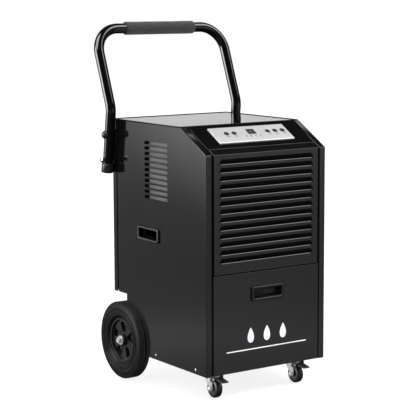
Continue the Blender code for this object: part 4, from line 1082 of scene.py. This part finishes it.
def make_tyre(side, middle, radius, width):
    """A solid tyre: four tread grooves, a stepped shoulder and two raised rings on each sidewall."""
    half = width / 2
    groove, wide, flank = 0.0026, 0.0020, 0.0003
    tread = 0.0140
    outer = []
    for place in (0.0030, 0.0088):
        for along, below in ((0, 0), (flank, groove), (wide, groove), (wide + flank, 0)):
            outer.append((place + along, radius - below))
    for along, below in ((-0.0010, 0.0), (0.0, 0.0006), (0.0002, 0.0028), (0.0022, 0.0042)):
        outer.append((tread + along, radius - below))
    for within, below in (
        (0.0018, 0.0085), (0.0010, 0.0110), (0.0003, 0.0150), (0.0, 0.0172), (0.0, 0.0192), (0.0016, 0.0206),
        (0.0017, 0.0256), (0.0005, 0.0268), (0.0004, 0.0284), (0.0020, 0.0298), (0.0022, 0.0345),
        (0.0008, 0.0356), (0.0010, 0.0374), (0.0030, 0.0388), (0.0042, 0.0425),
    ):
        outer.append((half - within, radius - below))
    outer.append((half - 0.0058, RIM_RADIUS + 0.0002))
    profile = [(-a, r) for a, r in reversed(outer)] + outer
    bm = turned(profile, "X", middle, 120)
    tyre = piece(f"solid_tyre_{side}", bm, f"wheel_{side}", "tyre", f"tyre_{side}", sharp=38)
    tyre.visible_glossy = False


def make_rim(side, sign, middle):
    """A moulded rim: barrel, five spokes with raised edges round the windows, a hub and a back plate."""
    centre = (middle.x, middle.y, middle.z)
    lip, seat = RIM_RADIUS, 0.0112
    barrel = (
        (-seat, lip - 0.0062), (-seat, lip - 0.0012), (-seat + 0.0010, lip), (seat - 0.0010, lip),
        (seat, lip - 0.0012), (seat, lip - 0.0050), (seat - 0.0012, lip - 0.0062), (0.0045, lip - 0.0075),
        (0.0020, lip - 0.0075), (-0.0020, lip - 0.0075), (-0.0045, lip - 0.0075),
        (-seat + 0.0012, lip - 0.0062),
    )
    hub = (
        (-0.0140, 0.0064), (-0.0140, 0.0150), (-0.0130, 0.0160), (0.0030, 0.0170), (0.0120, 0.0160),
        (0.0134, 0.0150), (0.0138, 0.0140), (0.0138, 0.0064),
    )
    back = ((-0.0100, 0.0150), (-0.0085, 0.0150), (-0.0085, 0.0530), (-0.0100, 0.0530))
    bm = bmesh.new()
    for profile, segments in ((barrel, 96), (hub, 60), (back, 60)):
        turned_in(bm, [(sign * a, r) for a, r in profile], "X", centre, segments)
    windows = []
    for number in range(SPOKE_COUNT):
        turn = Matrix.Rotation(2 * math.pi * number / SPOKE_COUNT, 2)
        corners = [turn @ Vector(corner) for corner in WINDOW_CORNERS]
        windows.append(rounded(corners, [0.003, 0.003, 0.0035, 0.03, 0.0035], 4))
    web = bmesh.new()
    loops = (circle(0.0540, 60), circle(0.0160, 30), *windows)
    fill_flat(web, *[[web.verts.new((0, a, b)) for a, b in loop] for loop in loops])
    grown = bmesh.ops.extrude_face_region(web, geom=web.faces[:])
    verts = [item for item in grown["geom"] if isinstance(item, bmesh.types.BMVert)]
    bmesh.ops.translate(web, verts=verts, vec=(0.006, 0, 0))
    web.transform(Matrix.Translation((middle.x - 0.003, middle.y, middle.z)))
    merge(bm, web)
    for outline in windows:
        heart = sum((Vector(point) for point in outline), Vector((0, 0))) / len(outline)
        wider = [heart + (Vector(point) - heart) * 1.10 for point in outline]
        rings = []
        for loop, along in ((outline, -0.0055), (wider, -0.0052), (wider, 0.0052), (outline, 0.0055)):
            rings.append([bm.verts.new(middle + Vector((sign * along, a, b))) for a, b in loop])
        for first, second in zip(rings, rings[1:] + rings[:1]):
            bridge(bm, first, second)
    rim = piece(
        f"spoked_rim_{side}", bm, f"wheel_{side}", "black_plastic", f"rim_{side}",
        material="rim_plastic", sharp=35,
    )
    rim.visible_glossy = False


def make_hub(side, sign, middle):
    """A zinc washer, a lock nut with six flats and the axle's hollow end."""
    low, high = span(f"axle_nut_{side}")
    start = low.x if sign > 0 else high.x
    centre = (start, middle.y, middle.z)
    washer = (
        (0.0, 0.0063), (0.0, 0.0122), (0.0003, 0.0126), (0.0015, 0.0126), (0.0018, 0.0122), (0.0018, 0.0063),
    )
    end = (
        (0.0085, 0.0034), (0.0085, 0.0060), (0.0106, 0.0060), (0.0115, 0.0052), (0.0115, 0.0040),
        (0.0110, 0.0034),
    )
    bm = bmesh.new()
    for profile, segments in ((washer, 48), (end, 32)):
        turned_in(bm, [(sign * a, r) for a, r in profile], "X", centre, segments)
    flats = []
    for radius, along in ((0.0082, 0.0019), (0.0092, 0.0025), (0.0092, 0.0080), (0.0080, 0.0090)):
        ring = circle(radius, 6, 0.3, (middle.y, middle.z))
        flats.append([(start + sign * along, a, b) for a, b in ring])
    loft_in(bm, flats)
    piece(f"hub_nut_{side}", bm, "cabinet", "zinc", f"axle_nut_{side}", sharp=30)


# Casters

def make_casters():
    for side, _ in SIDES:
        low, high = span(f"caster_wheel_{side}")
        radius, half = (high.z - low.z) / 2, (high.x - low.x) / 2
        profile = [
            (-half, 0.0038), (-half, 0.0065), (-half + 0.0015, 0.0075), (-half + 0.0015, 0.0155),
            (-half, 0.0165), (-half, 0.0190), (-half + 0.0012, 0.0218), (-half + 0.0032, radius - 0.0008),
            (-half + 0.0060, radius),
        ]
        bm = turned(profile + [(-a, r) for a, r in reversed(profile)], "X", (low + high) / 2, 56)
        wheel = f"caster_wheel_{side}"
        piece(f"caster_tread_{side}", bm, wheel, "black_plastic", wheel, sharp=30)
        make_fork(side)
        make_pedal(side)
        make_caster_bolts(side)


def make_fork(side):
    """A pressed fork: a raceway cup, two legs that slant forward to the axle, and black brake arms."""
    crown = span(f"caster_fork_{side}")[1].z
    low, high = span(f"caster_wheel_{side}")
    x, depth, z = (low + high) / 2
    inner = (high.x - low.x) / 2 + 0.0015
    cup = (
        (crown - 0.0046, 0.0054), (crown - 0.0046, 0.0165), (crown - 0.0036, 0.0185),
        (crown - 0.0012, 0.0198), (crown, 0.0205), (crown, 0.0054),
    )
    legs = turned(cup, "Z", (x, SWIVEL_DEPTH, 0), 48)
    arms = bmesh.new()
    under, rear = crown - 0.0012, SWIVEL_DEPTH + 0.012
    leg = rounded(
        (
            (rear, under), (rear, crown - 0.0120), (depth + 0.0085, z + 0.001), (depth + 0.002, z - 0.0078),
            (depth - 0.0075, z - 0.002), (depth - 0.0050, under),
        ),
        [0.001, 0.006, 0.006, 0.005, 0.006, 0.001], 4,
    )
    pin_depth, pin_z = PEDAL_PIN
    arm = rounded(
        (
            (depth + 0.002, under), (depth + 0.002, pin_z - 0.010), (pin_depth - 0.002, pin_z - 0.0062),
            (pin_depth - 0.005, pin_z - 0.001), (pin_depth - 0.004, under),
        ),
        [0.001, 0.002, 0.003, 0.003, 0.001], 3,
    )
    for sign in (-1, 1):
        near, far = x + sign * inner, x + sign * (inner + 0.0015)
        prism_in(legs, leg, near, far, "X")
        prism_in(arms, arm, near + sign * 0.0001, far + sign * 0.0003, "X")
    piece(f"fork_legs_{side}", legs, f"caster_{side}", "zinc", f"caster_fork_{side}", edge=0.0003)
    piece(f"brake_arms_{side}", arms, f"caster_{side}", "zinc", material="black_plastic", edge=0.0003)


def make_pedal(side):
    """A brake pedal with a turned-up, ribbed toe, on its pin."""
    low, high = span(f"brake_pedal_{side}")
    x = (low.x + high.x) / 2
    depth, z = PEDAL_PIN
    tip = low.y
    corners = (
        (depth + 0.004, z - 0.003), (depth + 0.004, z + 0.003), (depth - 0.006, z + 0.004),
        (tip + 0.006, z - 0.0003), (tip, z - 0.0012), (tip, z - 0.0045), (tip + 0.004, z - 0.0050),
        (depth - 0.008, z - 0.0035),
    )
    radii = [0.001, 0.001, 0.003, 0.002, 0.0012, 0.0012, 0.002, 0.003]
    bm = bmesh.new()
    prism_in(bm, rounded(corners, radii, 3), x - 0.009, x + 0.009, "X")
    for rib in range(4):
        place = tip + 0.0025 + rib * 0.0032
        head = (x + 0.0075, place + 0.0012, z + 0.0004 + rib * 0.0006)
        box_in(bm, (x - 0.0075, place, z - 0.0022), head)
    piece(f"brake_lever_{side}", bm, f"brake_{side}", "black_plastic", f"brake_pedal_{side}", edge=0.0003)
    outer, radius = (high.x - low.x) / 2, 0.0025
    profile = [(x - outer, 0), (x - outer, radius), (x + outer, radius), (x + outer, 0)]
    piece(f"brake_pin_{side}", turned(profile, "X", (0, depth, z), 20), f"brake_{side}", "zinc", edge=0.0003)


def make_caster_bolts(side):
    """Four cap screws up through each caster's plate, and the riveted axle's heads."""
    low, high = span(f"caster_plate_{side}")
    under = high.z - 0.003
    bm = bmesh.new()
    for x in (low.x + 0.008, high.x - 0.008):
        for depth in (low.y + 0.008, high.y - 0.008):
            loft_in(bm, [
                [(a, b, z) for a, b in circle(radius, 6, 0.0, (x, depth))]
                for radius, z in ((0.0044, under), (0.0046, under - 0.0028), (0.0040, under - 0.0034))
            ])
    piece(f"caster_bolts_{side}", bm, "cabinet", "zinc", sharp=30)
    wheel_low, wheel_high = span(f"caster_wheel_{side}")
    middle = (wheel_low + wheel_high) / 2
    low, high = span(f"caster_fork_{side}")
    head = (
        (-0.0015, 0.0), (-0.0015, 0.0058), (-0.0008, 0.0062), (0.0004, 0.0050), (0.0010, 0.0025),
        (0.0010, 0.0),
    )
    bm = bmesh.new()
    for end, sign in ((low.x, -1), (high.x, 1)):
        turned_in(bm, [(end + sign * a, r) for a, r in head], "X", (0, middle.y, middle.z), 28)
    piece(f"axle_rivet_{side}", bm, f"caster_{side}", "zinc", sharp=50)


# Inside

def make_tank():
    """A moulded tank with a rolled rim, drafted walls, level marks and the float's two ledges."""
    low, high = span("water_tank")
    middle, half = (low + high) / 2, (high - low) / 2
    loops = []
    for drop, z, radius in (
        (0.012, low.z + 0.0005, 0.012), (0.004, low.z + 0.003, 0.012), (0.003, low.z + 0.012, 0.012),
        (0.0015, high.z - 0.008, 0.010), (0.0, high.z - 0.0065, 0.010), (0.0, high.z - 0.0008, 0.010),
        (0.0008, high.z, 0.010), (0.0032, high.z, 0.009), (0.0040, high.z - 0.0010, 0.009),
        (0.0055, low.z + 0.014, 0.010), (0.0075, low.z + 0.006, 0.010), (0.014, low.z + 0.0035, 0.010),
    ):
        outline = rectangle(half.x - drop, half.y - drop, radius, 6, (middle.x, middle.y))
        loops.append([(a, b, z) for a, b in outline])
    bm = lofted(loops)
    mark = half.x * 0.55
    for step in range(5):
        z = low.z + 0.040 + 0.036 * step
        box_in(bm, (mark, low.y + 0.0016, z), (mark + 0.022, low.y + 0.0026, z + 0.0012))
    float_low, float_high = span("tank_float")
    depth, z = FLOAT_PIN
    for x in (float_low.x, float_high.x - 0.0035):
        box_in(bm, (x, depth - 0.006, z - 0.006), (x + 0.0035, high.y - 0.004, z - 0.0030))
    piece("tank_shell", bm, "drawer", "tank_plastic", "water_tank", sharp=40)


def make_coils():
    """Two finned coils: thin plates on copper tubes with return bends, between two end sheets."""
    fins, rows, radius, sheet = 84, 12, 0.0048, 0.0012
    for node in ("evaporator_coil", "condenser_coil"):
        low, high = span(node)
        half = high.x
        bm = bmesh.new()
        step = (high.x - low.x - 0.008) / (fins - 1)
        for number in range(fins):
            foot = low + Vector((0.0038 + step * number, 0.002, 0.002))
            box_in(bm, foot, (foot.x + 0.0004, high.y - 0.002, high.z - 0.002))
        for x in (low.x, high.x - sheet):
            box_in(bm, (x, low.y, low.z), (x + sheet, high.y, high.z))
        piece(f"{node}_fins", bm, "cabinet", "coil_fins", node)
        bm = bmesh.new()
        pitch = (high.z - low.z) / rows
        for number in range(rows):
            z = low.z + pitch * (number + 0.5)
            for depth in (low.y + 0.011, high.y - 0.011):
                ends = [Vector((x, depth, z)) for x in (-half + 0.0006, half - 0.0006)]
                tube_in(bm, ends, radius, 12)
                if number % 2 == 0:
                    tube_in(bm, bend_path(half - 0.001, depth, z, z + pitch, 1), radius, 12)
                elif number < rows - 1:
                    tube_in(bm, bend_path(-half + 0.001, depth, z, z + pitch, -1), radius, 12)
        piece(f"{node}_tubes", bm, "cabinet", "coil_fins", material="copper", sharp=50)


def bend_path(x, depth, low, high, sign):
    """A return bend between two heights, out to one side."""
    middle, radius, steps = (low + high) / 2, (high - low) / 2, 8
    path = [Vector((x, depth, low))]
    for step in range(steps + 1):
        angle = -math.pi / 2 + math.pi * step / steps
        out = sign * (0.003 + 0.6 * radius * math.cos(angle))
        path.append(Vector((x + out, depth, middle + radius * math.sin(angle))))
    return [*path, Vector((x, depth, high))]


def make_filter():
    """A framed filter pad behind the louvres."""
    low, high = span("air_filter")
    bm = bmesh.new()
    for first, last in bars_round((low.x, low.z), (high.x, high.z), 0.0075):
        box_in(bm, (first[0], low.y + 0.006, first[1]), (last[0], high.y, last[1]))
    for share in (0.25, 0.5, 0.75):
        x = low.x + (high.x - low.x) * share
        box_in(bm, (x - 0.0015, high.y - 0.0012, low.z + 0.001), (x + 0.0015, high.y, high.z - 0.001))
    piece("filter_frame", bm, "intake", "filter_medium", "air_filter", material="black_plastic", edge=0.0004)
    waves = 90
    outline = []
    for steps, depth in ((range(waves + 1), high.y - 0.0036), (range(waves, -1, -1), high.y - 0.0016)):
        for step in steps:
            x = low.x + 0.002 + (high.x - low.x - 0.004) * step / waves
            outline.append((x, depth + 0.0004 * (-1) ** step))
    pad = lofted([[(a, b, z) for a, b in outline] for z in (low.z + 0.002, high.z - 0.002)])
    piece("filter_pad", pad, "intake", "filter_medium", sharp=80)


def make_compressor():
    """The compressor's can: a welded seam, a domed lid and a base plate with rubber feet."""
    low, high = span("compressor")
    x, depth, _ = COMPRESSOR_CENTRE
    radius, shoulder = COMPRESSOR_RADIUS, high.z - COMPRESSOR_DOME
    inner, seam, steps = radius - 0.001, shoulder - 0.030, 10
    profile = [
        (low.z + 0.004, 0.0), (low.z + 0.004, radius - 0.010), (low.z + 0.012, inner),
        (seam - 0.003, inner), (seam - 0.002, radius), (seam + 0.002, radius), (seam + 0.003, inner),
    ]
    for step in range(steps):
        angle = math.pi / 2 * step / steps
        profile.append((shoulder + COMPRESSOR_DOME * math.sin(angle), inner * math.cos(angle) ** 0.8))
    bm = turned([*profile, (high.z, 0.0)], "Z", COMPRESSOR_CENTRE, 64)
    reach = radius + 0.008
    base = rectangle(reach, reach, 0.016, 5, (x, depth))
    prism_in(bm, base, low.z + 0.0005, low.z + 0.003, "Z")
    foot = [(low.z + 0.003, 0), (low.z + 0.003, 0.007), (low.z + 0.012, 0.006), (low.z + 0.012, 0)]
    for a in (-1, 1):
        for b in (-1, 1):
            turned_in(bm, foot, "Z", (x + a * (reach - 0.012), depth + b * (reach - 0.012), 0), 20)
    piece("compressor_can", bm, "cabinet", "compressor_shell", "compressor", sharp=40)


# Trim

def make_screws():
    """Small screws low on the sides, and down the rear panel's edges."""
    bm = bmesh.new()
    for _, sign in SIDES:
        for depth, z in SIDE_SCREWS:
            screw_in(bm, (sign * CABINET_HALF, depth, z), sign, 0.0034, 0.0010)
    piece("side_screws", bm, "cabinet", "zinc", sharp=40)
    bm = bmesh.new()
    for x in (-CABINET_HALF + 0.012, CABINET_HALF - 0.012):
        for z in REAR_SCREW_Z:
            head = bmesh.new()
            screw_in(head, (0, 0, 0), 1, 0.0036, 0.0012)
            head.transform(Matrix.Translation((x, CABINET_DEPTH, z)) @ Matrix.Rotation(math.pi / 2, 4, "Z"))
            merge(bm, head)
    piece("rear_screws", bm, "cabinet", "zinc", sharp=40)


def make_decoration():
    """Three drops over a line, on the door."""
    bm = bmesh.new()
    width, height = DROP_HALF
    outlines = []
    for number in (-1, 0, 1):
        outline = []
        for a, b in circle(1, 28):
            pinch = (1 - b) / 2
            outline.append((number * DROP_PITCH + width * a * pinch ** 0.45, DROP_Z + height * b))
        outlines.append(outline)
    outlines.append(rectangle(*LINE_HALF, 0.0006, 3, (0, DROP_Z - LINE_BELOW)))
    for outline in outlines:
        prism_in(bm, outline, -0.00025, -0.00002, "Y")
    piece("door_decoration", bm, "drawer", "silver_plate", material="decal", sharp=20)


def clothe_cad_nodes():
    """Every CAD node gets its slot's material and softened edges."""
    for entry in frame["record"]["subparts"]:
        node = frame["nodes"][entry["node"]]
        node.data.materials.clear()
        node.data.materials.append(MATERIALS[entry["material_slot"]])
        weld = node.modifiers.new("weld", "WELD")
        weld.merge_threshold = 0.00002
        flat = node.modifiers.new("flat", "DECIMATE")
        flat.decimate_type = "DISSOLVE"
        flat.angle_limit = math.radians(0.5)
        edge = node.modifiers.new("edge", "BEVEL")
        edge.width = 0.0004
        edge.segments = 2
        edge.limit_method = "ANGLE"
        edge.angle_limit = math.radians(40)


clothe_cad_nodes()
for make in (
    make_grille, make_side_panels, make_rear_panel, make_top, make_pulls, make_inlet, make_console,
    make_handle, make_rear_wheels, make_casters, make_tank, make_coils, make_filter, make_compressor,
    make_screws, make_decoration,
):
    make()


# Stage

def make_camera():
    """A long lens, from the front and left, a little above."""
    data = bpy.data.cameras.new("camera")
    data.sensor_width = 36.0
    data.lens = CAMERA_LENS
    camera = in_scene("camera", data)
    camera.location = CAMERA_PLACE
    yaw, pitch, roll = (math.radians(angle) for angle in CAMERA_TURN)
    level = Matrix.Rotation(-yaw, 4, "Z") @ Matrix.Rotation(math.pi / 2 - pitch, 4, "X")
    camera.rotation_euler = (level @ Matrix.Rotation(roll, 4, "Z")).to_euler()
    bpy.context.scene.camera = camera


def softbox(name, place, aim, size, power):
    """A rectangular lamp that reflections don't see."""
    data = bpy.data.lights.new(name, "AREA")
    data.shape = "RECTANGLE"
    data.size, data.size_y = size
    data.energy = power
    light = in_scene(name, data)
    light.location = place
    light.rotation_euler = (Vector(aim) - Vector(place)).to_track_quat("-Z", "Y").to_euler()
    light.visible_glossy = False


def make_surroundings():
    """A sphere that only reflections see: dim, with soft bright patches like a studio's lamps."""
    bm = bmesh.new()
    bmesh.ops.create_uvsphere(bm, u_segments=48, v_segments=24, radius=SPHERE_RADIUS)
    mesh = bpy.data.meshes.new("surroundings")
    bm.to_mesh(mesh)
    bm.free()
    sphere = in_scene("surroundings", mesh)
    material = bpy.data.materials.new("surroundings")
    material.use_nodes = True
    tree = material.node_tree
    tree.nodes.clear()
    place = add_node(tree, "ShaderNodeTexCoord")
    outward = add_node(tree, "ShaderNodeVectorMath", {"operation": "NORMALIZE"})
    tree.links.new(place.outputs["Object"], outward.inputs[0])
    parts = add_node(tree, "ShaderNodeSeparateXYZ", Vector=outward.outputs["Vector"])
    limits = {"From Min": -1.0, "From Max": 1.0}
    height = add_node(tree, "ShaderNodeMapRange", limits, Value=parts.outputs["Z"])
    levels = add_node(tree, "ShaderNodeValToRGB", Fac=height.outputs["Result"])
    while len(levels.color_ramp.elements) < len(DIM):
        levels.color_ramp.elements.new(0.5)
    for element, (angle, level) in zip(levels.color_ramp.elements, DIM):
        element.position = 0.5 + 0.5 * math.sin(math.radians(angle))
        element.color = (level, level, level, 1)
    light = levels.outputs["Color"]
    for direction, edge, core, level in PATCHES:
        facing = add_node(tree, "ShaderNodeVectorMath", {"operation": "DOT_PRODUCT"})
        tree.links.new(outward.outputs["Vector"], facing.inputs[0])
        facing.inputs[1].default_value = Vector(direction).normalized()
        patch = add_node(
            tree, "ShaderNodeMapRange", {
                "interpolation_type": "SMOOTHSTEP", "From Min": math.cos(math.radians(edge)),
                "From Max": math.cos(math.radians(core)), "To Min": 0.0, "To Max": level,
            }, Value=facing.outputs["Value"],
        )
        total = add_node(tree, "ShaderNodeVectorMath", {"operation": "ADD"})
        tree.links.new(light, total.inputs[0])
        tree.links.new(patch.outputs["Result"], total.inputs[1])
        light = total.outputs["Vector"]
    glow = add_node(tree, "ShaderNodeEmission", Color=light)
    add_node(tree, "ShaderNodeOutputMaterial", Surface=glow.outputs["Emission"])
    material.cycles.emission_sampling = "NONE"
    mesh.materials.append(material)
    sphere.visible_camera = False
    sphere.visible_diffuse = False
    sphere.visible_shadow = False


def make_stage():
    """White floor, white surroundings and soft light."""
    world = bpy.data.worlds.new("studio")
    bpy.context.scene.world = world
    world.use_nodes = True
    background = world.node_tree.nodes["Background"]
    background.inputs["Color"].default_value = (1, 1, 1, 1)
    background.inputs["Strength"].default_value = 1.0
    world.cycles.sampling_method = "NONE"

    bm = bmesh.new()
    bmesh.ops.create_grid(bm, x_segments=4, y_segments=4, size=14)
    mesh = bpy.data.meshes.new("floor")
    bm.to_mesh(mesh)
    bm.free()
    floor = in_scene("floor", mesh)
    material, _, shader = shader_of("floor", (0.30, 0.30, 0.30), 0.9)
    shader.inputs["Emission Color"].default_value = (1, 1, 1, 1)
    shader.inputs["Emission Strength"].default_value = 0.78
    material.cycles.emission_sampling = "NONE"
    mesh.materials.append(material)
    floor.visible_glossy = False

    softbox("overhead", (0.9, -1.9, 2.6), (0, 0, 0.5), (1.6, 0.8), 45)
    softbox("left_strip", (-2.6, -0.4, 1.5), (0, 0, 0.6), (0.35, 1.8), 14)
    softbox("right_strip", (2.2, -1.4, 1.5), (0, 0, 0.6), (0.3, 1.8), 14)
    bpy.context.scene.view_settings.view_transform = "Standard"


make_camera()
make_surroundings()
make_stage()
